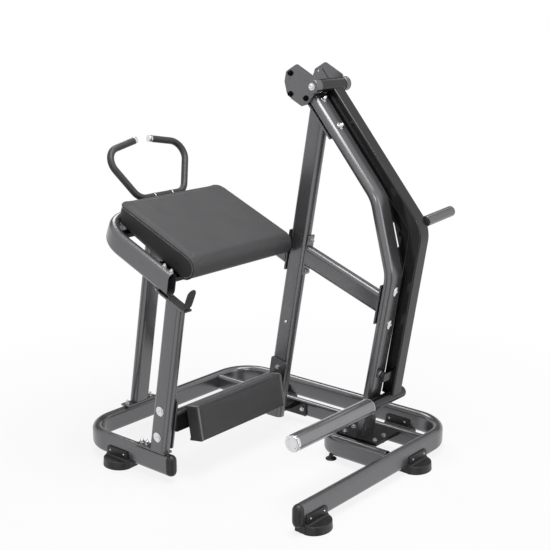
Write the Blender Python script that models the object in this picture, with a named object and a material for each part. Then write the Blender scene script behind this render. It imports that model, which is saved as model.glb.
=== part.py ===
"""Plate loaded glute kickback machine, in metres, +Z up.

The user stands at the middle facing -X, leans on the upper pad, holds the ring handle and
drives the roller towards +X. The kick arm hangs from a pivot that runs along Y at the top of
the frame. All lengths are measured from the middle of the base; the last step shifts the
machine so that the world origin lies under the middle of its box.
"""
import math

import bmesh
import bpy
from mathutils import Matrix, Vector

# Steel stock
OVAL_LONG = 0.100          # flat oval tube, long side
OVAL_SHORT = 0.050         # flat oval tube, short side
RAIL_LONG = 0.080          # smaller oval of the inner rail
RAIL_SHORT = 0.040
WALL = 0.003               # wall of every frame tube
PLATE = 0.008              # welded flange plates
SEAT = 0.0003              # gap left where two pieces touch

# Base, seen from above
BASE_HALF_X = 0.655        # middle to the centre line of the left and right tubes
BASE_HALF_Y = 0.570        # middle to the centre line of the far and near tubes
BASE_BEND = 0.170          # centre line radius of the big corners
BASE_Z = 0.065             # height of the tube centre lines
NEAR_END_X = -0.075        # where the short near tube stops
RIGHT_END_Y = -0.574       # where the right tube stops
BASE_SPLIT_X = -0.020      # butt weld in the far tube
RAIL_Y = 0.352             # inner rail
LOOP_Y = 0.073             # near side of the small loop
LOOP_X = 0.262             # left side of the small loop
LOOP_BEND = 0.100
CAP_DOME = 0.030           # bulge of the two plastic end caps

# Leaning posts, all in planes of constant Y
LEAN = math.radians(9.9)   # columns and posts lean this far from vertical
POST_Y = 0.200             # plane of the tall post, the beam and the rear post
TALL_X0 = -0.1335          # tall post centre line carried down to the floor
TALL_BOTTOM = 0.056
NEAR_X0 = -0.1565          # near column centre line carried down to the floor
FAR_Y = -0.211             # plane of the far column
REAR_X0 = 0.4009           # rear post centre line carried down to the floor
REAR_BOTTOM = 0.100
REAR_BEND_LOW = 0.8755     # heights of the two bends in the rear post
REAR_BEND_HIGH = 1.2057
REAR_MIDDLE_LEAN = math.radians(14.8)
REAR_BEND_R = 0.160
REAR_PLATE = (0.118, 0.105)      # plates under the rear post, before and behind its foot
REAR_PLATE_NEAR = 0.064    # and towards -Y from the plane of the posts
REAR_BOLT = (0.088, 0.080)
REAR_BOLT_SIDE = 0.035
SHOE_LONG = 0.097          # half length of the far column's base plate
SHOE_BOLT = 0.076
SHOE_FRONT = 0.135         # how far the near column's base plate runs before the column
SHOE_REAR = 0.052
SHOE_MARGIN = 0.0015       # side plates and tubes, edge to edge
BEAM_Z0 = 0.9195           # beam centre line carried to X = 0
BEAM_SLOPE = math.radians(20.0)

# Pivot and head
PIVOT_X = 0.151
PIVOT_Z = 1.671
TOP_SLOPE = math.radians(50.0)   # upper rear post and upper arm, below horizontal
POST_DROP = 0.056          # pivot to the centre line of the upper rear post
HEAD_NEAR_Y = 0.136        # outer face of the near head plate
HEAD_PITCH = 0.2055        # near head plate to far head plate
HEAD_PLATE = 0.008
CHEEK = 0.0055
BOSS_R = 0.0325
BOSS_NEAR_Y = (0.124, 0.162)
BOSS_FAR_Y = (0.3412, 0.3710)
SLEEVE_R = 0.0300
SLEEVE_BORE = 0.0240
SHAFT_R = 0.0125

# Kick arm
ARM_WIDE = 0.072           # along Y
ARM_DEEP = 0.064
ARM_CORNER = 0.008
ARM_WALL = 0.004
ARM_GAP = 0.0020            # running gap between the rear post and the arm
ARM_DROP = 0.021           # pivot to the centre line of the upper arm
ARM_LOW_LEAN = math.radians(9.2)
ARM_LOW_X0 = 0.4505        # lower arm centre line carried down to the floor
ARM_BEND_R = 0.110
ARM_SWING = 60.0           # degrees
ROLLER_X = 0.5045
ROLLER_Z = 0.282
CARRIER_R = 0.0270
CARRIER_END_Y = 0.364
ROLLER_R = 0.0375
ROLLER_WALL = 0.0040
SPINDLE_R = 0.0150          # rod that the roller turns on
ROLLER_INNER_Y = 0.097
ROLLER_OUTER_Y = -0.423
HORN_R = 0.0240
HORN_LENGTH = 0.200
HORN_TILT = math.radians(4.0)
HORN_SHIFT = (0.014, 0.036)      # root of the horn from the arm's bend point
GUSSET_PIN_X = 0.540
GUSSET_PIN_Z = 1.048
GUSSET_PIN_R = 0.0120

# Stop between the arm and the rear post
STOP_Z = 0.410
STOP_R = 0.0180
STOP_LENGTH = 0.020
STOP_WASHER = 0.004
STRIKE_HALF = 0.020

# Pad frame, upper pad and handlebar
PAD_SLOPE = math.radians(23.0)
FRAME_Z0 = 0.870           # height of the pad frame's centre plane at X = 0
FRAME_FRONT_X = -BASE_HALF_X + 0.167
FRAME_NEAR_END_X = 0.066
FRAME_BEND = 0.165
PAD_TOP = 0.1190           # pad's top plane above the frame's centre plane
PAD_UNDER_FRONT = 0.0300   # underside at the front edge, above the frame's centre plane
PAD_UNDER_REAR = 0.0070    # underside where the rear roll starts
PAD_FRONT_U = -0.515       # front edge, measured along the slope from X = 0
PAD_ROLL_U = -0.0594       # centre of the rear roll
PAD_HALF_Y = 0.3225
PAD_Y = -0.1795
BOARD = 0.012
STRAP_FRONT = (0.055, 0.085)     # straps under the board, measured from the pad's front
STRAP_REAR = (0.300, 0.420)
STRAP_HIGH = 0.024
BOARD_START = 0.050
BOARD_SIDE = 0.025
HANDLE_R = 0.0160
HANDLE_LEAN = math.radians(27.0)
HANDLE_X = -0.470
HANDLE_Z = 1.166
HANDLE_Y = -0.193
HANDLE_SHAPE = ((0.056, 0.273), (0.264, 0.232), (0.1405, 0.0))   # half ring: end and two corners
HANDLE_BEND = 0.070
HANDLE_CAP = 0.018
MOUNT_HALF = 0.052         # half width of the clamp under the handle

# Lower pad
SHIN_FACE_X = 0.011        # front face at the pad's mid height
SHIN_Z = 0.2465
SHIN_Y = -0.1835
SHIN_HALF_Y = 0.2875
SHIN_HIGH = 0.158
SHIN_THICK = 0.076
SHIN_LEAN = math.radians(10.0)
BAR_X = -0.101             # crossbar behind the lower pad
BAR_Z = 0.2475
RAIL_RISE = 0.034          # half height of the rail behind the lower pad
BAR_PLATE_HALF = 0.047     # half width of the crossbar's end plates
BAR_NEAR = (0.136, 0.372, (0.191, 0.317))      # near end plate: bottom, top and bolts
BAR_FAR = (0.150, 0.362, (0.191, 0.322))

# Feet
FLOOR = -0.011             # soles of the feet against the height datum
FOOT_LONG = 0.138
FOOT_OUT = 0.064
FOOT_HIGH = 0.025          # top of the D shaped pad
FOOT_FLANGE = 0.067        # top of the flange
FOOT_PLATE = 0.008         # wall of the flange
FOOT_LIP = 0.003           # step between the sole's edge and the pad above it
FOOT_SCREW = 0.044         # screws each side of a foot's middle

# Holes and bolts
HOLE_R = 0.0055            # holes for the frame's bolts
SMALL_HOLE_R = 0.0027      # holes for the screws of the feet
HOLE_SIDES = 10
STOP_BOLT_R = 0.0050

X = Vector((1, 0, 0))
Y = Vector((0, 1, 0))
Z = Vector((0, 0, 1))

MATERIALS = {
    "frame grey": ((0.10, 0.10, 0.105), 0.9, 0.35),
    "satin black": ((0.012, 0.012, 0.013), 0.0, 0.40),
    "black plastic": ((0.018, 0.018, 0.019), 0.0, 0.50),
    "vinyl": ((0.045, 0.045, 0.047), 0.0, 0.60),
    "zinc": ((0.70, 0.71, 0.73), 1.0, 0.25),
    "chrome": ((0.85, 0.85, 0.86), 1.0, 0.10),
    "rubber": ((0.02, 0.02, 0.02), 0.0, 0.80),
    "plywood": ((0.35, 0.24, 0.14), 0.0, 0.70),
    "steel": ((0.45, 0.45, 0.46), 1.0, 0.30),
}


def clear_scene():
    for item in list(bpy.data.objects):
        bpy.data.objects.remove(item, do_unlink=True)


def material(name):
    found = bpy.data.materials.get(name)
    if found:
        return found
    colour, metallic, roughness = MATERIALS[name]
    made = bpy.data.materials.new(name)
    made.use_nodes = True
    shader = made.node_tree.nodes["Principled BSDF"]
    shader.inputs["Base Color"].default_value = (*colour, 1.0)
    shader.inputs["Metallic"].default_value = metallic
    shader.inputs["Roughness"].default_value = roughness
    return made


def empty(name, place, parent=None):
    """Empty on an axis; it keeps its place in machine coordinates for the meshes under it."""
    made = bpy.data.objects.new(name, None)
    bpy.context.scene.collection.objects.link(made)
    made.parent = parent
    made.location = Vector(place) - (Vector(parent["place"]) if parent else Vector())
    made["place"] = tuple(place)
    return made


def add_object(name, bm, finish, parent):
    """Turn a bmesh in machine coordinates into an object under an axis empty or the root."""
    bmesh.ops.recalc_face_normals(bm, faces=bm.faces)
    mesh = bpy.data.meshes.new(name)
    bm.to_mesh(mesh)
    bm.free()
    mesh.transform(Matrix.Translation(-Vector(parent["place"])))
    mesh.shade_smooth()
    mesh.set_sharp_from_angle(angle=math.radians(32))
    made = bpy.data.objects.new(name, mesh)
    made.data.materials.append(material(finish))
    bpy.context.scene.collection.objects.link(made)
    made.parent = parent
    return made


def cut(target, bm, operation="DIFFERENCE"):
    """Boolean a hidden helper mesh with a finished object."""
    helper = add_object(target.name + "_helper", bm, "steel", target.parent)
    helper.hide_render = True
    helper.display_type = "WIRE"
    modifier = target.modifiers.new(operation.lower(), "BOOLEAN")
    modifier.operation = operation
    modifier.solver = "EXACT"
    modifier.object = helper


# Outlines and basic solids


def rounded_outline(half_a, half_b, radius, steps):
    """Rectangle with round corners; a flat oval when the radius is its shorter half."""
    points = []
    for quarter in range(4):
        sign_a = 1 if quarter in (0, 3) else -1
        sign_b = 1 if quarter in (0, 1) else -1
        for step in range(steps + 1):
            angle = (quarter + step / steps) * math.pi / 2
            a = sign_a * (half_a - radius) + radius * math.cos(angle)
            b = sign_b * (half_b - radius) + radius * math.sin(angle)
            if not points or (Vector((a, b)) - Vector(points[-1])).length > 1e-6:
                points.append((a, b))
    if (Vector(points[0]) - Vector(points[-1])).length < 1e-6:
        points.pop()
    return points


def bridge(bm, ring_a, ring_b):
    count = len(ring_a)
    for i in range(count):
        j = (i + 1) % count
        bm.faces.new((ring_a[i], ring_a[j], ring_b[j], ring_b[i]))


def stations(corners, radius, step=math.radians(15)):
    """Points and tangents along a path of straight runs joined by arcs."""
    points = [Vector(c) for c in corners]
    result = [(points[0], (points[1] - points[0]).normalized())]
    for before, corner, after in zip(points, points[1:], points[2:]):
        inward = (corner - before).normalized()
        outward = (after - corner).normalized()
        turn = inward.angle(outward)
        setback = radius * math.tan(turn / 2)
        start = corner - inward * setback
        bow = (outward - inward * inward.dot(outward)).normalized()
        centre = start + bow * radius
        count = max(2, math.ceil(turn / step))
        for k in range(count + 1):
            angle = turn * k / count
            place = centre - bow * radius * math.cos(angle) + inward * radius * math.sin(angle)
            result.append((place, inward * math.cos(angle) + bow * math.sin(angle)))
    result.append((points[-1], (points[-1] - points[-2]).normalized()))
    return result


def swept_rings(bm, path, outline, normal, start_cut, end_cut):
    rings = []
    for index, (place, tangent) in enumerate(path):
        side = normal.cross(tangent).normalized()
        spots = [place + side * a + normal * b for a, b in outline]
        limit = start_cut if index == 0 else end_cut if index == len(path) - 1 else None
        if limit:
            on_plane, facing = limit
            spots = [s + tangent * ((on_plane - s).dot(facing) / tangent.dot(facing)) for s in spots]
        rings.append([bm.verts.new(s) for s in spots])
    for ring_a, ring_b in zip(rings, rings[1:]):
        bridge(bm, ring_a, ring_b)
    return rings


def tube_mesh(corners, normal, half_side, half_normal, radius, wall, bend=0.1, steps=4,
              start_cut=None, end_cut=None):
    """Planar tube: half_side lies in the plane of the bends, half_normal across it."""
    bm = bmesh.new()
    path = stations(corners, bend)
    outline = rounded_outline(half_side, half_normal, radius, steps)
    outer = swept_rings(bm, path, outline, normal, start_cut, end_cut)
    if wall is None:
        bm.faces.new(outer[0])
        bm.faces.new(outer[-1])
        return bm
    inner_outline = rounded_outline(half_side - wall, half_normal - wall, radius - wall, steps)
    inner = swept_rings(bm, path, inner_outline, normal, start_cut, end_cut)
    bridge(bm, outer[0], inner[0])
    bridge(bm, outer[-1], inner[-1])
    return bm


def axes_from(direction, hint=Z):
    """Two unit vectors square to a direction."""
    if abs(direction.dot(hint)) > 0.95:
        hint = X
    across = hint.cross(direction).normalized()
    return across, direction.cross(across).normalized()


def lathe(bm, profile, origin, direction, sides):
    """Turned solid from (radius, distance) pairs; it starts and ends on the axis or as a ring."""
    direction = Vector(direction).normalized()
    across, up = axes_from(direction)
    rings = []
    for radius, distance in profile:
        middle = Vector(origin) + direction * distance
        if radius == 0:
            rings.append([bm.verts.new(middle)])
            continue
        ring = []
        for k in range(sides):
            angle = 2 * math.pi * k / sides
            ring.append(bm.verts.new(middle + (across * math.cos(angle) + up * math.sin(angle)) * radius))
        rings.append(ring)
    pairs = list(zip(rings, rings[1:]))
    if len(rings[0]) > 1:
        pairs.append((rings[-1], rings[0]))
    for ring_a, ring_b in pairs:
        if len(ring_a) == 1 or len(ring_b) == 1:
            tip, ring = (ring_a[0], ring_b) if len(ring_a) == 1 else (ring_b[0], ring_a)
            for k in range(sides):
                bm.faces.new((tip, ring[k], ring[(k + 1) % sides]))
        else:
            bridge(bm, ring_a, ring_b)


def pipe(bm, radius, bore, origin, direction, length, sides):
    """Hollow cylinder, or a rod when the bore is zero."""
    if bore:
        lathe(bm, [(bore, 0), (radius, 0), (radius, length), (bore, length)], origin, direction, sides)
    else:
        lathe(bm, [(0, 0), (radius, 0), (radius, length), (0, length)], origin, direction, sides)


def prism(bm, outline, origin, side, up, thickness):
    """Flat plate: an outline in the side/up plane, extruded along side x up."""
    side = Vector(side).normalized()
    up = Vector(up).normalized()
    depth = side.cross(up) * thickness
    low = [bm.verts.new(Vector(origin) + side * a + up * b) for a, b in outline]
    high = [bm.verts.new(v.co + depth) for v in low]
    bm.faces.new(low)
    bm.faces.new(high)
    bridge(bm, low, high)


def box(bm, low, high):
    outline = [(low[0], low[1]), (high[0], low[1]), (high[0], high[1]), (low[0], high[1])]
    prism(bm, outline, Vector((0, 0, low[2])), X, Y, high[2] - low[2])


def round_corners(points, radius, steps=3):
    """Replace the corners of a convex outline by arcs of one radius."""
    result = []
    count = len(points)
    for i, corner in enumerate(points):
        before = (Vector(points[i - 1]) - Vector(corner)).normalized()
        after = (Vector(points[(i + 1) % count]) - Vector(corner)).normalized()
        half = before.angle(after) / 2
        start = Vector(corner) + before * (radius / math.tan(half))
        centre = Vector(corner) + (before + after).normalized() * (radius / math.sin(half))
        sweep = math.pi - 2 * half
        turn = 1 if before.x * after.y - before.y * after.x < 0 else -1
        arm = start - centre
        for k in range(steps + 1):
            angle = turn * sweep * k / steps
            result.append((centre.x + arm.x * math.cos(angle) - arm.y * math.sin(angle),
                           centre.y + arm.x * math.sin(angle) + arm.y * math.cos(angle)))
    return result


# Holes


def drill(bm, head_at, direction, depth, radius=HOLE_R):
    """Bolt hole; direction runs into the material and depth is where the hole ends."""
    direction = Vector(direction).normalized()
    pipe(bm, radius, 0, Vector(head_at) - direction * 0.02, direction, depth + 0.02, HOLE_SIDES)


# Derived places


def lean_x(foot_x, z, lean=LEAN):
    """X of a leaning centre line at a height."""
    return foot_x + z * math.tan(lean)


def along(angle):
    """Unit vector in the XZ plane, pointing to +X and down by an angle."""
    return Vector((math.cos(angle), 0, -math.sin(angle)))


def above(angle):
    """Unit vector square to along(angle), pointing up."""
    return Vector((math.sin(angle), 0, math.cos(angle)))


UP_LEAN = Vector((math.sin(LEAN), 0, math.cos(LEAN)))     # along the leaning posts
OUT_LEAN = Vector((math.cos(LEAN), 0, -math.sin(LEAN)))   # square to them, towards +X
TOP_ALONG = along(TOP_SLOPE)
TOP_ABOVE = above(TOP_SLOPE)
FRAME_ALONG = along(PAD_SLOPE)
FRAME_ABOVE = above(PAD_SLOPE)

HALF_LONG = OVAL_LONG / 2
HALF_SHORT = OVAL_SHORT / 2
BASE_TOP = BASE_Z + HALF_LONG
BASE_BOTTOM = BASE_Z - HALF_LONG
PIVOT = Vector((PIVOT_X, 0, PIVOT_Z))
HEAD_FAR_Y = HEAD_NEAR_Y + HEAD_PITCH
NEAR_CHEEK_Y = HEAD_NEAR_Y + HEAD_PLATE + SEAT
FAR_CHEEK_Y = HEAD_FAR_Y - SEAT - CHEEK
SLEEVE_START_Y = BOSS_NEAR_Y[1] + 0.0015
SLEEVE_END_Y = BOSS_FAR_Y[0] - 0.0015
ARM_Y = POST_Y + HALF_LONG + ARM_GAP + ARM_WIDE / 2

# Rear post centre line from its foot to the head
REAR_FOOT = Vector((lean_x(REAR_X0, REAR_BOTTOM), POST_Y, REAR_BOTTOM))
REAR_LOW = Vector((lean_x(REAR_X0, REAR_BEND_LOW), POST_Y, REAR_BEND_LOW))
REAR_TOP = PIVOT - TOP_ABOVE * POST_DROP - TOP_ALONG * 0.050 + Y * POST_Y


def crossing(point_a, direction_a, point_b, direction_b):
    """Where two lines in the XZ plane meet, at the first line's Y."""
    det = direction_a.x * -direction_b.z + direction_b.x * direction_a.z
    gap = point_b - point_a
    s = (gap.x * -direction_b.z + direction_b.x * gap.z) / det
    return point_a + direction_a * s


REAR_MIDDLE = Vector((-math.sin(REAR_MIDDLE_LEAN), 0, math.cos(REAR_MIDDLE_LEAN)))
REAR_HIGH = crossing(REAR_LOW, REAR_MIDDLE, REAR_TOP, TOP_ALONG)
ARM_TOP = PIVOT - TOP_ABOVE * ARM_DROP + Y * ARM_Y
ARM_LOW_UP = Vector((math.sin(ARM_LOW_LEAN), 0, math.cos(ARM_LOW_LEAN)))
ARM_ELBOW = crossing(ARM_TOP, TOP_ALONG, Vector((ARM_LOW_X0, ARM_Y, 0)), ARM_LOW_UP)
ROLLER_AXIS = Vector((ROLLER_X, 0, ROLLER_Z))


def frame_point(x, y, rise=0.0):
    """Point on the pad frame's centre plane, moved square to it by rise."""
    return Vector((x, y, FRAME_Z0 - x * math.tan(PAD_SLOPE))) + FRAME_ABOVE * rise


def tall_x(z):
    return lean_x(TALL_X0, z)


def near_x(z):
    return lean_x(NEAR_X0, z)


def far_x(z):
    return -BASE_HALF_X + (z - BASE_TOP) * math.tan(LEAN)


def rear_x(z):
    return lean_x(REAR_X0, z)


STOP_FOOT = Vector((rear_x(STOP_Z), POST_Y, STOP_Z)) + OUT_LEAN * HALF_SHORT


# Base frame


def base_rail(name, corners, root, **cuts):
    bm = tube_mesh(corners, Z, HALF_SHORT, HALF_LONG, HALF_SHORT, WALL, BASE_BEND, **cuts)
    return add_object(name, bm, "frame grey", root)


def build_base(root):
    left = base_rail("base_left_rail", [
        (NEAR_END_X, -BASE_HALF_Y, BASE_Z), (-BASE_HALF_X, -BASE_HALF_Y, BASE_Z),
        (-BASE_HALF_X, BASE_HALF_Y, BASE_Z), (BASE_SPLIT_X, BASE_HALF_Y, BASE_Z)], root)
    right = base_rail("base_right_rail", [
        (BASE_SPLIT_X + SEAT, BASE_HALF_Y, BASE_Z), (BASE_HALF_X, BASE_HALF_Y, BASE_Z),
        (BASE_HALF_X, RIGHT_END_Y, BASE_Z)], root)
    rail_end = BASE_HALF_X - HALF_SHORT - SEAT
    bm = tube_mesh([(-rail_end, RAIL_Y, BASE_Z), (rail_end, RAIL_Y, BASE_Z)], Z,
                   RAIL_SHORT / 2, RAIL_LONG / 2, RAIL_SHORT / 2, WALL)
    rail = add_object("inner_rail", bm, "frame grey", root)
    bm = tube_mesh([(LOOP_X, RAIL_Y - RAIL_SHORT / 2 - SEAT, BASE_Z), (LOOP_X, LOOP_Y, BASE_Z),
                    (rail_end, LOOP_Y, BASE_Z)], Z, HALF_SHORT, HALF_LONG, HALF_SHORT, WALL, LOOP_BEND)
    add_object("loop_rail", bm, "frame grey", root)
    build_end_caps(root)
    return left, right, rail


def build_end_caps(root):
    """Domed plastic caps on the open ends of the base tubes."""
    outline = rounded_outline(HALF_SHORT, HALF_LONG, HALF_SHORT, 4)
    for name, start, heading in (
            ("base_left_cap", Vector((NEAR_END_X + SEAT, -BASE_HALF_Y, BASE_Z)), X),
            ("base_right_cap", Vector((BASE_HALF_X, RIGHT_END_Y - SEAT, BASE_Z)), -Y)):
        bm = bmesh.new()
        side = Z.cross(heading)
        rings = []
        for forward, inset in ((0, 0), (CAP_DOME * 0.45, 0.001), (CAP_DOME * 0.8, 0.007), (CAP_DOME, 0.017)):
            ring = []
            for a, b in outline:
                flat = side * (a * (1 - inset / HALF_SHORT)) + Z * (b * (1 - inset / HALF_LONG))
                ring.append(bm.verts.new(start + heading * forward + flat))
            rings.append(ring)
        for ring_a, ring_b in zip(rings, rings[1:]):
            bridge(bm, ring_a, ring_b)
        bm.faces.new(rings[0])
        bm.faces.new(rings[-1])
        add_object(name, bm, "black plastic", root)


FEET = (
    ("foot_near_left", Vector((-0.383, -BASE_HALF_Y, 0)), -Y),
    ("foot_right_near", Vector((BASE_HALF_X, -0.501, 0)), X),
    ("foot_right_far", Vector((BASE_HALF_X, 0.238, 0)), X),
    ("foot_far_right", Vector((0.372, BASE_HALF_Y, 0)), -Y),
    ("foot_far_left", Vector((-0.372, BASE_HALF_Y, 0)), -Y),
)


def build_feet(root, left, right):
    """Moulded saddle feet: a sole under the tube, a D shaped pad beside it and a screwed flange."""
    drills = {left: bmesh.new(), right: bmesh.new()}
    half = FOOT_LONG / 2
    face = HALF_SHORT + SEAT
    for name, middle, outward in FEET:
        side = Z.cross(outward)
        floor = middle + Z * FLOOR
        arc = [(half * math.cos(math.pi * k / 12), face + FOOT_OUT * math.sin(math.pi * k / 12) ** 0.8)
               for k in range(13)]
        sole = [(-half, -HALF_SHORT * 0.9), (half, -HALF_SHORT * 0.9)]
        bm = bmesh.new()
        prism(bm, arc + sole, floor, side, outward, -(BASE_BOTTOM - SEAT - FLOOR))
        foot = add_object(name, bm, "black plastic", root)
        pad = bmesh.new()
        prism(pad, arc, floor + Z * FOOT_LIP, side, outward, -(FOOT_HIGH - FOOT_LIP - FLOOR))
        cut(foot, pad, "UNION")
        flange = bmesh.new()
        tall = FOOT_FLANGE - FLOOR - FOOT_LIP
        plate = round_corners([(-half, 0), (half, 0), (half * 0.97, tall), (-half * 0.97, tall)], 0.012)
        prism(flange, plate, floor + Z * FOOT_LIP + outward * face, side, Z, FOOT_PLATE)
        cut(foot, flange, "UNION")
        holes = bmesh.new()
        rail = left if name.endswith("left") else right
        for shift in (-FOOT_SCREW, FOOT_SCREW):
            spot = middle + side * shift + outward * (face + FOOT_PLATE) + Z * (FOOT_FLANGE - 0.017)
            for mesh in (holes, drills[rail]):
                drill(mesh, spot, -outward, FOOT_PLATE + 0.008, SMALL_HOLE_R)
        cut(foot, holes)
    for rail, mesh in drills.items():
        cut(rail, mesh)
    bm = bmesh.new()
    lathe(bm, [(0, 0), (0.023, 0), (0.026, 0.0035), (0.021, 0.0085), (0.011, 0.011),
               (0.011, BASE_BOTTOM - FLOOR - SEAT), (0, BASE_BOTTOM - FLOOR - SEAT)],
          Vector((LOOP_X + LOOP_BEND, LOOP_Y + LOOP_BEND, FLOOR))
          - Vector((0.37, 0.93, 0)).normalized() * (LOOP_BEND + 0.008), Z, 16)
    add_object("levelling_foot", bm, "rubber", root)


# Columns, posts and their plates


def side_plate(bm, foot_x, z_low, z_high, half_width, y_far, thickness):
    """Plate square to Y that follows a leaning post; it grows from y_far towards -Y."""
    low = Vector((lean_x(foot_x, z_low), y_far, z_low))
    height = (z_high - z_low) / math.cos(LEAN)
    outline = round_corners([(-half_width, 0), (half_width, 0), (half_width, height), (-half_width, height)],
                            0.006, 1)
    prism(bm, outline, low, OUT_LEAN, UP_LEAN, thickness)


def lean_plate(bm, foot_x, z_low, z_high, offset, thickness, half_y):
    """Plate square to OUT_LEAN on the side of a leaning post in the plane of the posts."""
    low = Vector((lean_x(foot_x, z_low), POST_Y, z_low)) + OUT_LEAN * offset
    height = (z_high - z_low) / math.cos(LEAN)
    outline = [(-half_y, 0), (half_y, 0), (half_y, height), (-half_y, height)]
    prism(bm, outline, low, Y, UP_LEAN, thickness)


def build_columns(root, left):
    """Near and far columns on bolted base plates."""
    columns = {}
    bottom = BASE_TOP + SEAT + PLATE + SEAT
    for name, x_at, y, half_x, half_y in (("near_column", near_x, -BASE_HALF_Y, HALF_LONG, HALF_SHORT),
                                          ("far_column", far_x, FAR_Y, HALF_SHORT, HALF_LONG)):
        start = Vector((x_at(bottom), y, bottom))
        roof = frame_point(0, y, -HALF_LONG - 2 * SEAT - PLATE)
        top = crossing(start, UP_LEAN, roof, FRAME_ALONG)
        bm = tube_mesh([start, top], Y, half_x, half_y, HALF_SHORT, WALL,
                       start_cut=(start, Z), end_cut=(top, FRAME_ABOVE))
        columns[name] = add_object(name, bm, "frame grey", root)
    near_foot = near_x(BASE_TOP)
    shoe = HALF_SHORT - SHOE_MARGIN
    rail_holes = bmesh.new()
    for name, low, high, spots in (
            ("near_column_base_plate", (near_foot - SHOE_FRONT, -BASE_HALF_Y - shoe),
             (near_foot + SHOE_REAR, -BASE_HALF_Y + shoe),
             ((near_foot - 0.120, -BASE_HALF_Y + 0.006), (near_foot - 0.0875, -BASE_HALF_Y + 0.006))),
            ("far_column_base_plate", (-BASE_HALF_X - shoe, FAR_Y - SHOE_LONG),
             (-BASE_HALF_X + shoe + 0.0055, FAR_Y + SHOE_LONG),
             ((-BASE_HALF_X, FAR_Y - SHOE_BOLT), (-BASE_HALF_X, FAR_Y + SHOE_BOLT)))):
        bm = bmesh.new()
        box(bm, (*low, BASE_TOP + SEAT), (*high, BASE_TOP + SEAT + PLATE))
        plate = add_object(name, bm, "frame grey", root)
        holes = bmesh.new()
        for x, y in spots:
            for mesh in (holes, rail_holes):
                drill(mesh, (x, y, BASE_TOP + SEAT + PLATE), -Z, 0.030)
        cut(plate, holes)
    cut(left, rail_holes)
    return columns


def pad_frame_corners():
    face = Vector((tall_x(0), 0, 0)) - OUT_LEAN * (HALF_LONG + PLATE + 2 * SEAT)
    far_end = crossing(frame_point(0, POST_Y), FRAME_ALONG, face, UP_LEAN)
    corners = [frame_point(FRAME_NEAR_END_X, -BASE_HALF_Y), frame_point(FRAME_FRONT_X, -BASE_HALF_Y),
               frame_point(FRAME_FRONT_X, POST_Y), far_end]
    return corners, face


def cut_to_frame(target, clearance):
    """Hollow out whatever would touch the bends of the pad frame."""
    corners, face = pad_frame_corners()
    bm = tube_mesh(corners, FRAME_ABOVE, HALF_SHORT + clearance, HALF_LONG + clearance,
                   HALF_SHORT + clearance, None, FRAME_BEND)
    cut(target, bm)


def build_pad_frame(root):
    """U shaped oval tube that leans towards the tall post, with its cap and top plates."""
    corners, face = pad_frame_corners()
    bm = tube_mesh(corners, FRAME_ABOVE, HALF_SHORT, HALF_LONG, HALF_SHORT, WALL, FRAME_BEND,
                   end_cut=(face, OUT_LEAN))
    frame = add_object("pad_frame_tube", bm, "frame grey", root)
    bm = bmesh.new()
    outline = rounded_outline(HALF_SHORT, HALF_LONG, HALF_SHORT, 4)
    prism(bm, outline, corners[0] + FRAME_ALONG * SEAT, Y, FRAME_ABOVE, 0.004)
    add_object("pad_frame_cap", bm, "black plastic", root)
    for name, middle_x, y, half_u, half_v in (("near_column_top_plate", -0.005, -BASE_HALF_Y, 0.086, 0.025),
                                              ("far_column_top_plate", FRAME_FRONT_X, FAR_Y, 0.025, 0.100)):
        bm = bmesh.new()
        outline = [(-half_u, -half_v), (half_u, -half_v), (half_u, half_v), (-half_u, half_v)]
        prism(bm, outline, frame_point(middle_x, y, -HALF_LONG - SEAT - PLATE), FRAME_ALONG, Y, PLATE)
        plate = add_object(name, bm, "frame grey", root)
        if y == -BASE_HALF_Y:
            for owner in (frame, plate):
                holes = bmesh.new()
                for x in (-0.099, -0.060):
                    drill(holes, frame_point(x, y, HALF_LONG), -FRAME_ABOVE, OVAL_LONG + PLATE + 0.02)
                cut(owner, holes)
    return frame


def beam_point(x):
    """Point on the beam's centre line."""
    return Vector((x, POST_Y, BEAM_Z0 - x * math.tan(BEAM_SLOPE)))


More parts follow.
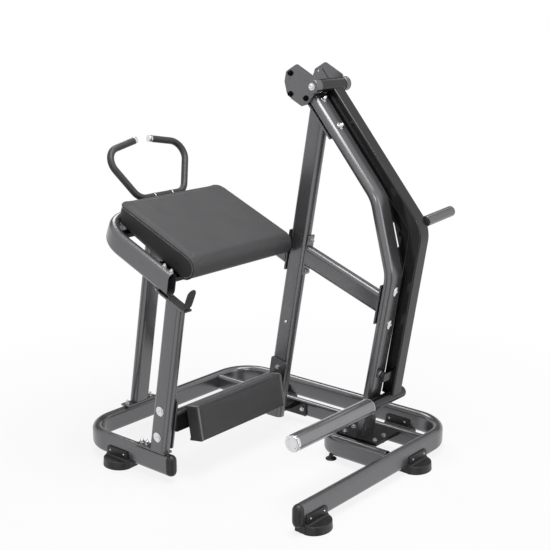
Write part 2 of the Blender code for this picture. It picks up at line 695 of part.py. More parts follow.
def build_posts(root):
    """Tall post, rear post and the beam between them, with their flange plates."""
    bottom = Vector((tall_x(TALL_BOTTOM), POST_Y, TALL_BOTTOM))
    under = PIVOT - TOP_ABOVE * (POST_DROP + HALF_SHORT + PLATE + 2 * SEAT)
    top = crossing(bottom, UP_LEAN, under, TOP_ALONG)
    bm = tube_mesh([bottom, top], Y, HALF_LONG, HALF_SHORT, HALF_SHORT, WALL,
                   start_cut=(bottom, Z), end_cut=(top, TOP_ABOVE))
    tall = add_object("tall_post", bm, "frame grey", root)
    bm = tube_mesh([REAR_FOOT, REAR_LOW, REAR_HIGH, REAR_TOP], Y, HALF_SHORT, HALF_LONG, HALF_SHORT,
                   WALL, REAR_BEND_R, start_cut=(REAR_FOOT, Z))
    rear = add_object("rear_post", bm, "frame grey", root)
    tall_face = Vector((tall_x(0), 0, 0)) + OUT_LEAN * (HALF_LONG + PLATE + 2 * SEAT)
    rear_face = Vector((rear_x(0), 0, 0)) - OUT_LEAN * (HALF_SHORT + PLATE + 2 * SEAT)
    slope = Vector((math.cos(BEAM_SLOPE), 0, -math.sin(BEAM_SLOPE)))
    ends = [crossing(beam_point(0), slope, face, UP_LEAN) for face in (tall_face, rear_face)]
    bm = tube_mesh(ends, Y, HALF_LONG, HALF_SHORT, HALF_SHORT, WALL,
                   start_cut=(tall_face, OUT_LEAN), end_cut=(rear_face, OUT_LEAN))
    add_object("beam", bm, "frame grey", root)
    tall_holes = bmesh.new()
    rear_holes = bmesh.new()
    for name, foot_x, low, high, offset, half, heights in (
            ("pad_frame_flange", TALL_X0, 0.800, 0.995, -HALF_LONG - SEAT - PLATE, 0.0215, (0.816, 0.972)),
            ("beam_front_flange", TALL_X0, 0.810, 0.998, HALF_LONG + SEAT, 0.0235, (0.828, 0.977)),
            ("beam_rear_flange", REAR_X0, 0.646, 0.826, -HALF_SHORT - SEAT - PLATE, 0.0450, (0.652, 0.808))):
        bm = bmesh.new()
        lean_plate(bm, foot_x, low, high, offset, PLATE, half)
        flange = add_object(name, bm, "frame grey", root)
        holes = bmesh.new()
        for z in heights:
            middle = Vector((lean_x(foot_x, z), POST_Y, z))
            if foot_x == REAR_X0:
                for mesh in (holes, rear_holes):
                    drill(mesh, middle + OUT_LEAN * HALF_SHORT, -OUT_LEAN, OVAL_SHORT + PLATE + 0.02)
            else:
                side = 1 if offset > 0 else -1
                for mesh in (holes, tall_holes):
                    drill(mesh, middle + OUT_LEAN * side * (HALF_LONG + PLATE), -OUT_LEAN * side, 0.020)
        cut(flange, holes)
    bm = bmesh.new()
    origin = under + TOP_ABOVE * SEAT + Y * (POST_Y - 0.045) + TOP_ALONG * 0.004
    prism(bm, [(0, 0), (0, 0.090), (0.218, 0.090), (0.218, 0)], origin, TOP_ALONG, Y, PLATE)
    add_object("tall_post_top_flange", bm, "frame grey", root)
    for u in (0.0480, 0.1955):
        spot = PIVOT + TOP_ALONG * u - TOP_ABOVE * (POST_DROP - HALF_SHORT) + Y * POST_Y
        drill(rear_holes, spot, -TOP_ABOVE, 0.020)
    stop_start = STOP_FOOT - OUT_LEAN * (OVAL_SHORT + 0.02)
    pipe(rear_holes, STOP_BOLT_R + SEAT, 0, stop_start, OUT_LEAN, OVAL_SHORT + 0.04, HOLE_SIDES)
    cut(rear, rear_holes)
    return tall, rear, tall_holes


def build_post_feet(root, rail):
    """Stub that ties the tall post to the inner rail, and the bolted seat of the rear post."""
    x = tall_x(0.075)
    rail_face = RAIL_Y - RAIL_SHORT / 2 - SEAT
    bm = bmesh.new()
    start = POST_Y + HALF_SHORT + SEAT
    outline = rounded_outline(0.024, 0.015, 0.004, 2)
    prism(bm, outline, Vector((x, rail_face - PLATE / 2, 0.078)), X, Z, rail_face - PLATE / 2 - start)
    stub = add_object("tall_post_stub", bm, "satin black", root)
    plate = bmesh.new()
    box(plate, (x - 0.092, rail_face - PLATE, BASE_Z - 0.035), (x + 0.092, rail_face, BASE_Z + 0.035))
    cut(stub, plate, "UNION")
    for owner in (stub, rail):
        holes = bmesh.new()
        for shift in (-0.070, 0.070):
            drill(holes, (x + shift, rail_face - PLATE, BASE_Z), Y, 0.020)
        cut(owner, holes)
    foot_x = rear_x(REAR_BOTTOM)
    top = REAR_BOTTOM - SEAT - PLATE
    for name, z in (("rear_post_base_plate", top), ("rear_seat_plate", top - SEAT - PLATE)):
        bm = bmesh.new()
        box(bm, (foot_x - REAR_PLATE[0], POST_Y - REAR_PLATE_NEAR, z),
            (foot_x + REAR_PLATE[1], rail_face, z + PLATE))
        holes = bmesh.new()
        for y in (POST_Y - REAR_BOLT_SIDE, POST_Y + REAR_BOLT_SIDE):
            for hole_x in (foot_x - REAR_BOLT[0], foot_x + REAR_BOLT[1]):
                drill(holes, (hole_x, y, z + PLATE), -Z, 2 * PLATE)
        cut(add_object(name, bm, "satin black", root), holes)
    bm = bmesh.new()
    low = 0.030
    high = top - 2 * SEAT - PLATE
    start = LOOP_Y + HALF_SHORT + SEAT
    outline = rounded_outline(HALF_SHORT, (high - low) / 2, 0.012, 2)
    prism(bm, outline, Vector((foot_x - 0.0075, rail_face, (high + low) / 2)), X, Z, rail_face - start)
    add_object("rear_cross_member", bm, "satin black", root)


# Head and pivot


HEAD_OUTLINE = ((-0.097, 0.093), (-0.156, 0.059), (-0.165, 0.015), (-0.151, -0.038), (-0.124, -0.061),
                (-0.066, -0.090), (-0.035, -0.080), (0.002, -0.034), (0.002, 0.042))
HEAD_BOLTS = ((-0.130, 0.052), (-0.129, -0.039), (-0.042, -0.053))
CHEEK_OUTLINE = ((-0.132, -0.045), (-0.132, -0.098), (-0.092, -0.130), (-0.010, -0.118), (0.034, -0.084),
                 (0.034, -0.045))


def build_head(root):
    """Two shaped plates on a welded bracket; round bosses at their corners carry the shaft."""
    outline = round_corners(HEAD_OUTLINE, 0.010, 3)
    cheek_outline = round_corners(CHEEK_OUTLINE, 0.008, 2)
    bracket_holes = bmesh.new()
    for name, y in (("head_plate_near", HEAD_NEAR_Y), ("head_plate_far", HEAD_FAR_Y)):
        bm = bmesh.new()
        prism(bm, outline, PIVOT + Y * y, X, Z, -PLATE)
        plate = add_object(name, bm, "frame grey", root)
        notch = bmesh.new()
        pipe(notch, BOSS_R + SEAT, 0, PIVOT + Y * (y - 0.02), Y, 0.05, 24)
        for dx, dz in HEAD_BOLTS:
            for mesh in (notch, bracket_holes):
                drill(mesh, PIVOT + X * dx + Z * dz + Y * (y - 0.004), Y, PLATE + 0.008)
        cut(plate, notch)
    bm = bmesh.new()
    for y in (NEAR_CHEEK_Y, FAR_CHEEK_Y):
        prism(bm, cheek_outline, PIVOT + Y * y, TOP_ALONG, TOP_ABOVE, -CHEEK)
    bracket = add_object("head_bracket", bm, "frame grey", root)
    web = bmesh.new()
    low = -POST_DROP - HALF_SHORT - SEAT - 0.008
    strip = [(-0.075, low), (0.002, low), (0.002, low + 0.008), (-0.075, low + 0.008)]
    start = NEAR_CHEEK_Y + CHEEK - 0.001
    prism(web, strip, PIVOT + Y * start, TOP_ALONG, TOP_ABOVE, -(FAR_CHEEK_Y + 0.001 - start))
    cut(bracket, web, "UNION")
    cut(bracket, bracket_holes)


def build_pivot(root, arm_axis):
    """Bosses welded into the head plates, the shaft through them and the arm's bushing."""
    for name, (start, end) in (("pivot_boss_near", BOSS_NEAR_Y), ("pivot_boss_far", BOSS_FAR_Y)):
        bm = bmesh.new()
        pipe(bm, BOSS_R, SHAFT_R + SEAT, PIVOT + Y * start, Y, end - start, 24)
        add_object(name, bm, "frame grey", root)
    bm = bmesh.new()
    pipe(bm, SHAFT_R, 0, PIVOT + Y * BOSS_NEAR_Y[0], Y, BOSS_FAR_Y[1] - BOSS_NEAR_Y[0], 20)
    add_object("pivot_shaft", bm, "steel", root)
    bm = bmesh.new()
    pipe(bm, SLEEVE_BORE - SEAT, SHAFT_R + SEAT, PIVOT + Y * (SLEEVE_START_Y + 0.001), Y,
         SLEEVE_END_Y - SLEEVE_START_Y - 0.002, 20)
    add_object("arm_bushing", bm, "steel", arm_axis)


# Kick arm and roller


def build_arm(arm_axis):
    """Pivot sleeve and the bent box tube that hangs from it."""
    bm = bmesh.new()
    pipe(bm, SLEEVE_R, SLEEVE_BORE, PIVOT + Y * SLEEVE_START_Y, Y, SLEEVE_END_Y - SLEEVE_START_Y, 32)
    arm = add_object("kick_arm", bm, "satin black", arm_axis)
    start = ARM_TOP + TOP_ALONG * 0.016
    foot_z = ROLLER_Z + CARRIER_R * 0.7
    stop = Vector((lean_x(ARM_LOW_X0, foot_z, ARM_LOW_LEAN), ARM_Y, foot_z))
    tube = tube_mesh([start, ARM_ELBOW, stop], Y, ARM_DEEP / 2, ARM_WIDE / 2, ARM_CORNER, ARM_WALL,
                     ARM_BEND_R, 2)
    cut(arm, tube, "UNION")
    cope = bmesh.new()
    pipe(cope, CARRIER_R + SEAT, 0, ROLLER_AXIS + Y * (CARRIER_END_Y + 0.01), -Y, 0.2, 32)
    cut(arm, cope)
    bore = bmesh.new()
    pipe(bore, SLEEVE_BORE, 0, PIVOT + Y * (SLEEVE_START_Y - 0.01), Y,
         SLEEVE_END_Y - SLEEVE_START_Y + 0.02, 32)
    cut(arm, bore)
    return arm


GUSSET_LEG = 0.225         # how far the gussets run along both legs of the arm
GUSSET_PLATE = 0.005
GUSSET_SPREAD = 0.021      # middle of the arm to the outer face of a gusset plate


def build_gussets(arm_axis):
    """Two plates that fill the inside of the arm's bend, a cross pin and a web between them."""
    up_dir = -TOP_ALONG
    low_dir = -ARM_LOW_UP
    inset = ARM_DEEP / 2 + SEAT
    low_normal = Vector((-math.cos(ARM_LOW_LEAN), 0, math.sin(ARM_LOW_LEAN)))
    root_point = crossing(ARM_ELBOW - TOP_ABOVE * inset, TOP_ALONG,
                          ARM_ELBOW + low_normal * inset, ARM_LOW_UP)
    bend = ARM_BEND_R - inset
    spread = up_dir.angle(low_dir)
    middle = (up_dir + low_dir).normalized()
    centre = root_point + middle * (bend / math.sin(spread / 2))
    setback = bend / math.tan(spread / 2)
    turn = math.pi - spread
    first = root_point + up_dir * setback - centre
    inside = [centre + Matrix.Rotation(turn * k / 4, 3, "Y") @ first for k in range(5)]
    low_end = root_point + low_dir * GUSSET_LEG
    top_end = root_point + up_dir * GUSSET_LEG
    low_toe = low_end + low_normal * 0.014 - low_dir * 0.006
    top_toe = top_end - TOP_ABOVE * 0.014 - up_dir * 0.006
    chord = (top_toe - low_toe).normalized()
    inward = -middle
    plain = inside + [low_end, low_toe, top_toe, top_end]
    notch = []
    for k in range(11):
        angle = math.pi * (1 - k / 10)
        round_part = chord * (0.066 * math.cos(angle)) + inward * (0.052 * math.sin(angle))
        notch.append(low_toe.lerp(top_toe, 0.5) + round_part)
    notched = inside + [low_end, low_toe] + notch + [top_toe, top_end]
    meshes = []
    for points, start in ((plain, ARM_Y + GUSSET_SPREAD - GUSSET_PLATE), (notched, ARM_Y - GUSSET_SPREAD)):
        bm = bmesh.new()
        low = [bm.verts.new(Vector((p.x, start, p.z))) for p in points]
        high = [bm.verts.new(v.co + Y * GUSSET_PLATE) for v in low]
        bm.faces.new(low)
        bm.faces.new(high)
        bridge(bm, low, high)
        meshes.append(bm)
    gusset = add_object("arm_gusset", meshes[0], "satin black", arm_axis)
    inner = ARM_Y + GUSSET_SPREAD - GUSSET_PLATE / 2
    web = bmesh.new()
    shelf = Vector((GUSSET_PIN_X - 0.004, inner, GUSSET_PIN_Z + 0.033))
    strip = [(-0.046, -0.003), (0.028, -0.003), (0.028, 0.003), (-0.046, 0.003)]
    prism(web, strip, shelf, Vector((0.94, 0, -0.34)), Vector((0.34, 0, 0.94)),
          2 * GUSSET_SPREAD - GUSSET_PLATE)
    cut(gusset, web, "UNION")
    cut(gusset, meshes[1], "UNION")
    pin = bmesh.new()
    pipe(pin, GUSSET_PIN_R, 0, Vector((GUSSET_PIN_X, inner, GUSSET_PIN_Z)), -Y,
         2 * GUSSET_SPREAD - GUSSET_PLATE / 2 + 0.003, 16)
    cut(gusset, pin, "UNION")


def build_arm_fittings(arm_axis):
    outward = Vector((0, math.cos(HORN_TILT), math.sin(HORN_TILT)))
    foot = Vector((ARM_ELBOW.x + HORN_SHIFT[0], ARM_Y + ARM_WIDE / 2 + SEAT, ARM_ELBOW.z + HORN_SHIFT[1]))
    bm = bmesh.new()
    lathe(bm, [(0, 0), (HORN_R, 0), (HORN_R, HORN_LENGTH - 0.008), (HORN_R - 0.008, HORN_LENGTH),
               (0, HORN_LENGTH)], foot, outward, 24)
    for vert in bm.verts:
        if (vert.co - foot).dot(outward) < HORN_LENGTH / 2:
            vert.co += outward * ((foot.y - vert.co.y) / outward.y)
    add_object("weight_horn", bm, "frame grey", arm_axis)
    bm = bmesh.new()
    origin = STOP_FOOT + OUT_LEAN * (STOP_WASHER + STOP_LENGTH + 3 * SEAT)
    reach = ARM_Y - ARM_WIDE / 2 - SEAT - POST_Y
    strip = [(-STRIKE_HALF, -STRIKE_HALF), (reach, -STRIKE_HALF),
             (reach, STRIKE_HALF), (-STRIKE_HALF, STRIKE_HALF)]
    prism(bm, strip, origin, Y, UP_LEAN, PLATE)
    add_object("stop_strike_plate", bm, "satin black", arm_axis)


def build_stop(root):
    """Rubber buffer on the rear post, where the strike plate of the arm comes to rest."""
    bm = bmesh.new()
    bore = STOP_BOLT_R + SEAT
    start = STOP_FOOT + OUT_LEAN * (STOP_WASHER + 2 * SEAT)
    lathe(bm, [(bore, 0), (STOP_R, 0), (STOP_R, STOP_LENGTH - 0.003), (STOP_R - 0.003, STOP_LENGTH),
               (bore, STOP_LENGTH)], start, OUT_LEAN, 16)
    add_object("stop_buffer", bm, "rubber", root)
    bm = bmesh.new()
    pipe(bm, STOP_R + 0.002, bore, STOP_FOOT + OUT_LEAN * SEAT, OUT_LEAN, STOP_WASHER, 16)
    add_object("stop_washer", bm, "chrome", root)
    bm = bmesh.new()
    head = STOP_BOLT_R * 2.2
    length = OVAL_SHORT + SEAT + STOP_WASHER + STOP_LENGTH * 0.8
    lathe(bm, [(0, -0.014), (head * 0.85, -0.014), (head, -0.012), (head, 0), (STOP_BOLT_R, 0),
               (STOP_BOLT_R, length), (0, length)],
          STOP_FOOT - OUT_LEAN * (OVAL_SHORT + SEAT), OUT_LEAN, 12)
    add_object("stop_bolt", bm, "zinc", root)


def build_roller(arm_axis, roller_axis):
    bm = bmesh.new()
    thick = CARRIER_END_Y - ROLLER_INNER_Y - 0.004
    length = CARRIER_END_Y - ROLLER_OUTER_Y - 0.005
    lathe(bm, [(0, 0), (CARRIER_R - 0.004, 0), (CARRIER_R, 0.004), (CARRIER_R, thick), (SPINDLE_R, thick),
               (SPINDLE_R, length), (0, length)],
          ROLLER_AXIS + Y * CARRIER_END_Y, -Y, 24)
    add_object("roller_carrier", bm, "satin black", arm_axis)
    bm = bmesh.new()
    pipe(bm, ROLLER_R, ROLLER_R - ROLLER_WALL, ROLLER_AXIS + Y * ROLLER_INNER_Y, -Y,
         ROLLER_INNER_Y - ROLLER_OUTER_Y, 32)
    add_object("kick_roller", bm, "frame grey", roller_axis)
    bore = ROLLER_R - ROLLER_WALL - SEAT
    bm = bmesh.new()
    lathe(bm, [(SPINDLE_R + SEAT, -0.003), (ROLLER_R + 0.001, -0.003), (ROLLER_R + 0.001, -SEAT),
               (bore, -SEAT), (bore, 0.022), (SPINDLE_R + SEAT, 0.022)],
          ROLLER_AXIS + Y * ROLLER_INNER_Y, -Y, 32)
    add_object("roller_inner_bush", bm, "chrome", roller_axis)
    bm = bmesh.new()
    lathe(bm, [(0, -0.016), (ROLLER_R - 0.003, -0.016), (ROLLER_R, -0.013), (ROLLER_R, -SEAT), (bore, -SEAT),
               (bore, 0.022), (0, 0.022)], ROLLER_AXIS + Y * ROLLER_OUTER_Y, Y, 32)
    end = bmesh.new()
    pipe(end, SPINDLE_R + SEAT, 0, ROLLER_AXIS + Y * (ROLLER_OUTER_Y + 0.004), Y, 0.04, 20)
    cut(add_object("roller_end_cap", bm, "chrome", roller_axis), end)


# Pads and handlebar


def cushion(name, root, profile, faces_up, place, half_y, middle_y, edge, crown):
    """Stuffed pad: a profile carried across Y, with rounded edges, drawn in sides and a crown.

    profile holds (a, b) pairs in order; faces_up tells which of them lie on the crowned face and how far
    from its ends; place turns (a, y, b) into a point.
    """
    centre_a = sum(a for a, b in profile) / len(profile)
    lowest = min(b for a, b in profile)
    highest = max(b for a, b in profile)
    steps = [(-half_y, edge), (-half_y + edge * 0.3, edge * 0.3), (-half_y + edge, 0.0)]
    inner = [-half_y * share for share in (0.75, 0.4)] + [0.0]
    rows = steps + [(y, 0.0) for y in inner]
    rows += [(-y, inset) for y, inset in reversed(rows[:-1])]
    bm = bmesh.new()
    rings = []
    count = len(profile)
    for y, inset in rows:
        rise = crown * max(0.0, 1 - (abs(y) / half_y) ** 2.5) * (1 if inset == 0 else 0)
        ring = []
        for i, (a, b) in enumerate(profile):
            before = Vector(profile[i - 1])
            after = Vector(profile[(i + 1) % count])
            tangent = (after - before).normalized()
            drawn = 0.004 * (1 - (b - lowest) / (highest - lowest))
            depth = math.copysign(max(0.0, abs(y) - (drawn if abs(y) > half_y * 0.8 else 0.0)), y)
            ring.append(bm.verts.new(place(a - tangent.y * inset * 0.999, middle_y + depth,
                                           b + tangent.x * inset * 0.999 + rise * faces_up[i])))
        rings.append(ring)
    for ring_a, ring_b in zip(rings, rings[1:]):
        bridge(bm, ring_a, ring_b)
    bm.faces.new(rings[0])
    bm.faces.new(rings[-1])
    bmesh.ops.triangulate(bm, faces=bm.faces)
    return add_object(name, bm, "vinyl", root)


def arc_points(centre, radius, start, end, count):
    return [(centre[0] + radius * math.cos(start + (end - start) * k / count),
             centre[1] + radius * math.sin(start + (end - start) * k / count)) for k in range(count + 1)]


def build_upper_pad(root):
    """Wedge shaped pad with a rolled rear end, its board and the two straps between the arms."""
    roll = (PAD_TOP - PAD_UNDER_REAR) / 2
    roll_centre = (PAD_ROLL_U, PAD_TOP - roll)
    soft = 0.012
    front_low = (PAD_FRONT_U + 0.012, PAD_UNDER_FRONT)
    profile = arc_points(roll_centre, roll, -math.pi / 2, math.pi / 2, 10)
    top_run = [PAD_ROLL_U + (PAD_FRONT_U + soft - PAD_ROLL_U) * k / 6 for k in range(1, 6)]
    profile += [(u, PAD_TOP) for u in top_run]
    profile += arc_points((PAD_FRONT_U + soft, PAD_TOP - soft), soft, math.pi / 2, math.pi, 3)
    profile += [(PAD_FRONT_U + 0.003, PAD_UNDER_FRONT + 0.030), front_low]
    length = PAD_ROLL_U - PAD_FRONT_U
    rises = []
    for u, n in profile:
        share = (u - PAD_FRONT_U) / length
        rises.append(max(0.0, math.sin(math.pi * min(1.0, max(0.0, share)))) if n > PAD_TOP - 0.001 else 0.0)

    def place(u, y, n):
        return FRAME_ALONG * u + FRAME_ABOVE * n + Vector((0, y, FRAME_Z0))

    pad = cushion("upper_pad", root, profile, rises, place, PAD_HALF_Y, PAD_Y, 0.008, 0.004)
    cut_to_frame(pad, 0.0008)
    run = Vector((PAD_ROLL_U - PAD_FRONT_U - 0.012, PAD_UNDER_REAR - PAD_UNDER_FRONT)).normalized()
    along_under = (FRAME_ALONG * run.x + FRAME_ABOVE * run.y).normalized()
    below = -Y.cross(along_under).normalized()
    if below.z > 0:
        below = -below
    start = place(PAD_FRONT_U + 0.012, PAD_Y, PAD_UNDER_FRONT) + below * (SEAT + BOARD)
    span = length - 0.012
    bm = bmesh.new()
    half = PAD_HALF_Y - BOARD_SIDE
    outline = [(BOARD_START, -half), (span, -half), (span, half), (BOARD_START, half)]
    prism(bm, outline, start, along_under, Y, BOARD)
    add_object("upper_pad_board", bm, "plywood", root)
    near = -BASE_HALF_Y + HALF_SHORT + SEAT - PAD_Y
    far = POST_Y - HALF_SHORT - SEAT - PAD_Y
    for name, (low, high) in (("upper_pad_strap_front", STRAP_FRONT), ("upper_pad_strap_rear", STRAP_REAR)):
        bm = bmesh.new()
        origin = start + below * (SEAT + STRAP_HIGH)
        prism(bm, [(low, near), (high, near), (high, far), (low, far)], origin, along_under, Y, STRAP_HIGH)
        strap = add_object(name, bm, "satin black", root)
        if name == "upper_pad_strap_front":
            cut_to_frame(strap, SEAT)


def build_handlebar(root):
    """Ring handle bent from one tube in a plane that leans forward, with its clamp and ends."""
    rise = Vector((-math.sin(HANDLE_LEAN), 0, math.cos(HANDLE_LEAN)))
    middle = Vector((HANDLE_X, HANDLE_Y, HANDLE_Z))
    corners = [middle - Y * a + rise * b for a, b in HANDLE_SHAPE]
    corners += [middle + Y * a + rise * b for a, b in reversed(HANDLE_SHAPE)]
    bm = tube_mesh(corners, rise.cross(Y).normalized(), HANDLE_R, HANDLE_R, HANDLE_R, None, HANDLE_BEND, 3)
    add_object("handlebar", bm, "rubber", root)
    (end_a, end_b), (top_a, top_b) = HANDLE_SHAPE[:2]
    for name, sign in (("handlebar_cap_near", -1), ("handlebar_cap_far", 1)):
        heading = (Y * (sign * (end_a - top_a)) + rise * (end_b - top_b)).normalized()
        start = middle + Y * (sign * end_a) + rise * end_b + heading * SEAT
        bm = bmesh.new()
        lathe(bm, [(0, 0), (HANDLE_R + 0.001, 0), (HANDLE_R + 0.001, HANDLE_CAP - 0.004),
                   (HANDLE_R - 0.002, HANDLE_CAP), (0, HANDLE_CAP)], start, heading, 16)
        add_object(name, bm, "chrome", root)
    bm = bmesh.new()
    reach = middle - Vector((0, HANDLE_Y, FRAME_Z0))
    origin = Vector((0, HANDLE_Y - MOUNT_HALF, FRAME_Z0)) + FRAME_ALONG * reach.dot(FRAME_ALONG)
    low = HALF_LONG + SEAT
    high = reach.dot(FRAME_ABOVE)
    outline = [(-0.021, low), (0.021, low), (0.021, high), (-0.021, high)]
    prism(bm, outline, origin, FRAME_ALONG, FRAME_ABOVE, -2 * MOUNT_HALF)
    mount = add_object("handlebar_mount", bm, "satin black", root)
    groove = bmesh.new()
    pipe(groove, HANDLE_R + SEAT, 0, middle - Y * 0.08, Y, 0.16, 24)
    cut(mount, groove)


def build_shin_pad(root, tall, near, tall_holes):
    """Lower pad on a wedge rail, and the crossbar bolted between the near column and the tall post."""
    down = Vector((math.sin(SHIN_LEAN), 0, -math.cos(SHIN_LEAN)))
    outward = Vector((math.cos(SHIN_LEAN), 0, math.sin(SHIN_LEAN)))
    back = Vector((SHIN_FACE_X, 0, SHIN_Z)) - outward * SHIN_THICK
    half = SHIN_HIGH / 2
    soft = 0.009
    profile = [(-half, 0.0), (half, 0.0)]
    profile += arc_points((half - soft, SHIN_THICK - soft), soft, 0, math.pi / 2, 2)
    profile += [(half * 0.35, SHIN_THICK), (-half * 0.35, SHIN_THICK)]
    profile += arc_points((-half + soft, SHIN_THICK - soft), soft, math.pi / 2, math.pi, 2)
    rises = [0.8 if b > SHIN_THICK - 0.0001 and abs(a) < half * 0.5 else 0.0 for a, b in profile]

    def place(a, y, b):
        return back + down * a + outward * b + Y * y

    cushion("lower_pad", root, profile, rises, place, SHIN_HALF_Y, SHIN_Y, 0.006, 0.003)
    near_face = -BASE_HALF_Y + HALF_SHORT + SEAT
    far_face = POST_Y - HALF_SHORT - SEAT
    rail_start = near_face + PLATE + SEAT
    rail_end = far_face - PLATE - SEAT
    bar_face = BAR_X + HALF_SHORT + SEAT
    points = [(bar_face, BAR_Z - RAIL_RISE)]
    for z in (BAR_Z - RAIL_RISE, BAR_Z + RAIL_RISE):
        points.append((back.x - (z - back.z) * math.tan(SHIN_LEAN) - SEAT / math.cos(SHIN_LEAN), z))
    points.append((bar_face, BAR_Z + RAIL_RISE))
    bm = bmesh.new()
    prism(bm, points, Vector((0, rail_end, 0)), X, Z, rail_end - rail_start)
    add_object("lower_pad_rail", bm, "satin black", root)
    outline = rounded_outline(HALF_SHORT, HALF_LONG, HALF_SHORT, 4)
    bm = bmesh.new()
    prism(bm, outline, Vector((BAR_X, far_face - PLATE / 2, BAR_Z)), X, Z, far_face - near_face - PLATE)
    bar = add_object("crossbar", bm, "frame grey", root)
    holes = bmesh.new()
    bore = rounded_outline(HALF_SHORT - WALL, HALF_LONG - WALL, HALF_SHORT - WALL, 4)
    prism(holes, bore, Vector((BAR_X, far_face + 0.01, BAR_Z)), X, Z, far_face - near_face + 0.02)
    column_holes = bmesh.new()
    for foot_x, face, (low, high, spots) in ((NEAR_X0, near_face + PLATE, BAR_NEAR),
                                             (TALL_X0, far_face, BAR_FAR)):
        plate = bmesh.new()
        side_plate(plate, foot_x, low, high, BAR_PLATE_HALF, face, PLATE)
        cut(bar, plate, "UNION")
        for z in spots:
            spot = Vector((lean_x(foot_x, z), face, z))
            if foot_x == NEAR_X0:
                spot.x = lean_x(foot_x, z)
                for mesh in (holes, column_holes):
                    drill(mesh, spot, -Y, OVAL_SHORT + PLATE + 0.02)
            else:
                for mesh in (holes, tall_holes):
                    drill(mesh, spot - Y * PLATE, Y, 0.020)
    cut(bar, holes)
    cut(near, column_holes)
    cut(tall, tall_holes)


def finish(root):
    """Shift the machine so that the origin lies on the floor under the middle of its box."""
    bpy.context.view_layer.update()
    low = Vector((math.inf, math.inf, math.inf))
    high = -low
    graph = bpy.context.evaluated_depsgraph_get()
    for item in bpy.data.objects:
        if item.type != "MESH" or item.hide_render:
            continue
        shape = item.evaluated_get(graph)
        for corner in shape.data.vertices:
            point = item.matrix_world @ corner.co
            low = Vector(map(min, low, point))
            high = Vector(map(max, high, point))
    middle = (low + high) / 2
    root.location = (-middle.x, -middle.y, -low.z)
    bpy.context.view_layer.update()
    print("box", [round(v, 4) for v in high - low], "shift", [round(v, 5) for v in root.location])
    for name in ("arm_axis", "roller_axis"):
        place = bpy.data.objects[name].matrix_world.translation
        print(name, [round(v, 5) for v in place])


def main():
    clear_scene()
    root = empty("machine", (0, 0, 0))
    arm_axis = empty("arm_axis", PIVOT, root)
    roller_axis = empty("roller_axis", ROLLER_AXIS, arm_axis)
    left, right, rail = build_base(root)
    build_feet(root, left, right)
    columns = build_columns(root, left)
    build_pad_frame(root)
    tall, rear, tall_holes = build_posts(root)
    build_post_feet(root, rail)
    build_shin_pad(root, tall, columns["near_column"], tall_holes)
    build_head(root)
    build_pivot(root, arm_axis)
    build_arm(arm_axis)
    build_gussets(arm_axis)
    build_arm_fittings(arm_axis)
    build_stop(root)
    build_roller(arm_axis, roller_axis)
    build_upper_pad(root)
    build_handlebar(root)
    finish(root)


main()
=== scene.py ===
# %% [markdown]
# # A plate loaded glute kickback machine
# The machine is a bent and bolted frame of flat oval steel tube. It carries two upholstered
# pads, a ring handle and a kick arm that hangs from a pivot at the top. The solid model gives
# the places and sizes, and the few that differ say so where they are named. This lesson dresses
# it: tubes with fine bends, turned parts, moulded feet, stuffed pads, the fasteners and their
# finishes. All lengths are in metres.

# %% Load the solid model
import math

import bmesh
import bpy
from mathutils import Matrix, Vector
from mathutils.bvhtree import BVHTree


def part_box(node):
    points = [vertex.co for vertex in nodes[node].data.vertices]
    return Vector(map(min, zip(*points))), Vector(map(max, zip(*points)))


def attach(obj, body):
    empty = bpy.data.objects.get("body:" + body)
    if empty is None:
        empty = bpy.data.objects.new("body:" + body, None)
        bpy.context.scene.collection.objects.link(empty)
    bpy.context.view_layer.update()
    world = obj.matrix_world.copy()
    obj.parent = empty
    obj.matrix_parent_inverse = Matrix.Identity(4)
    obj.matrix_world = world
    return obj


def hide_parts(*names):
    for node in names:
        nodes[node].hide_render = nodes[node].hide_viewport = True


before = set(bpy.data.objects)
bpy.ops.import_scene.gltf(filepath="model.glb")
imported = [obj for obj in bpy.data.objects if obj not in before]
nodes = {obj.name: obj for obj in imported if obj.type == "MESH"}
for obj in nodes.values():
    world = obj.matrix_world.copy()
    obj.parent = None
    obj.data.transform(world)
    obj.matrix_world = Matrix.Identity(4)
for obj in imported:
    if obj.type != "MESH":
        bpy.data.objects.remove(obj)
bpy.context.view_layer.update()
X, Y, Z = Vector((1, 0, 0)), Vector((0, 1, 0)), Vector((0, 0, 1))
FLAT_LONG, FLAT_SHORT, TUBE_WALL, PLATE, GAP = 0.100, 0.050, 0.003, 0.008, 0.0003
HALF_LONG, HALF_SHORT, SEATED = FLAT_LONG / 2, FLAT_SHORT / 2, PLATE + 2 * GAP
BASE_X, BASE_Y, BASE_Z = 0.655, 0.570, 0.065
BASE_TOP = BASE_Z + HALF_LONG
rail_low, rail_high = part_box("base_left_rail")
MIDDLE = Vector((rail_low.x + BASE_X + HALF_SHORT, rail_high.y - BASE_Y - HALF_SHORT,
                 rail_low.z + HALF_LONG - BASE_Z))
print("solids", len(nodes), "middle of the base", [round(v, 4) for v in MIDDLE])

# %% [markdown]
# ## Camera and light
# The camera stands off the corner between the base's open side and the side that the arm swings
# to, a little above head height, with a moderately long lens. Setting it first fixes what each
# later piece has to show. Light comes from large soft panels, as in a product studio, so that the
# round edges of the tubes get long bright lines. A white world shows behind the machine and in
# its polished parts. Overhead and to the rear, what the parts mirror is dark between the panels:
# this draws the dark line along the top of each tube, beside the bright one that a panel gives.

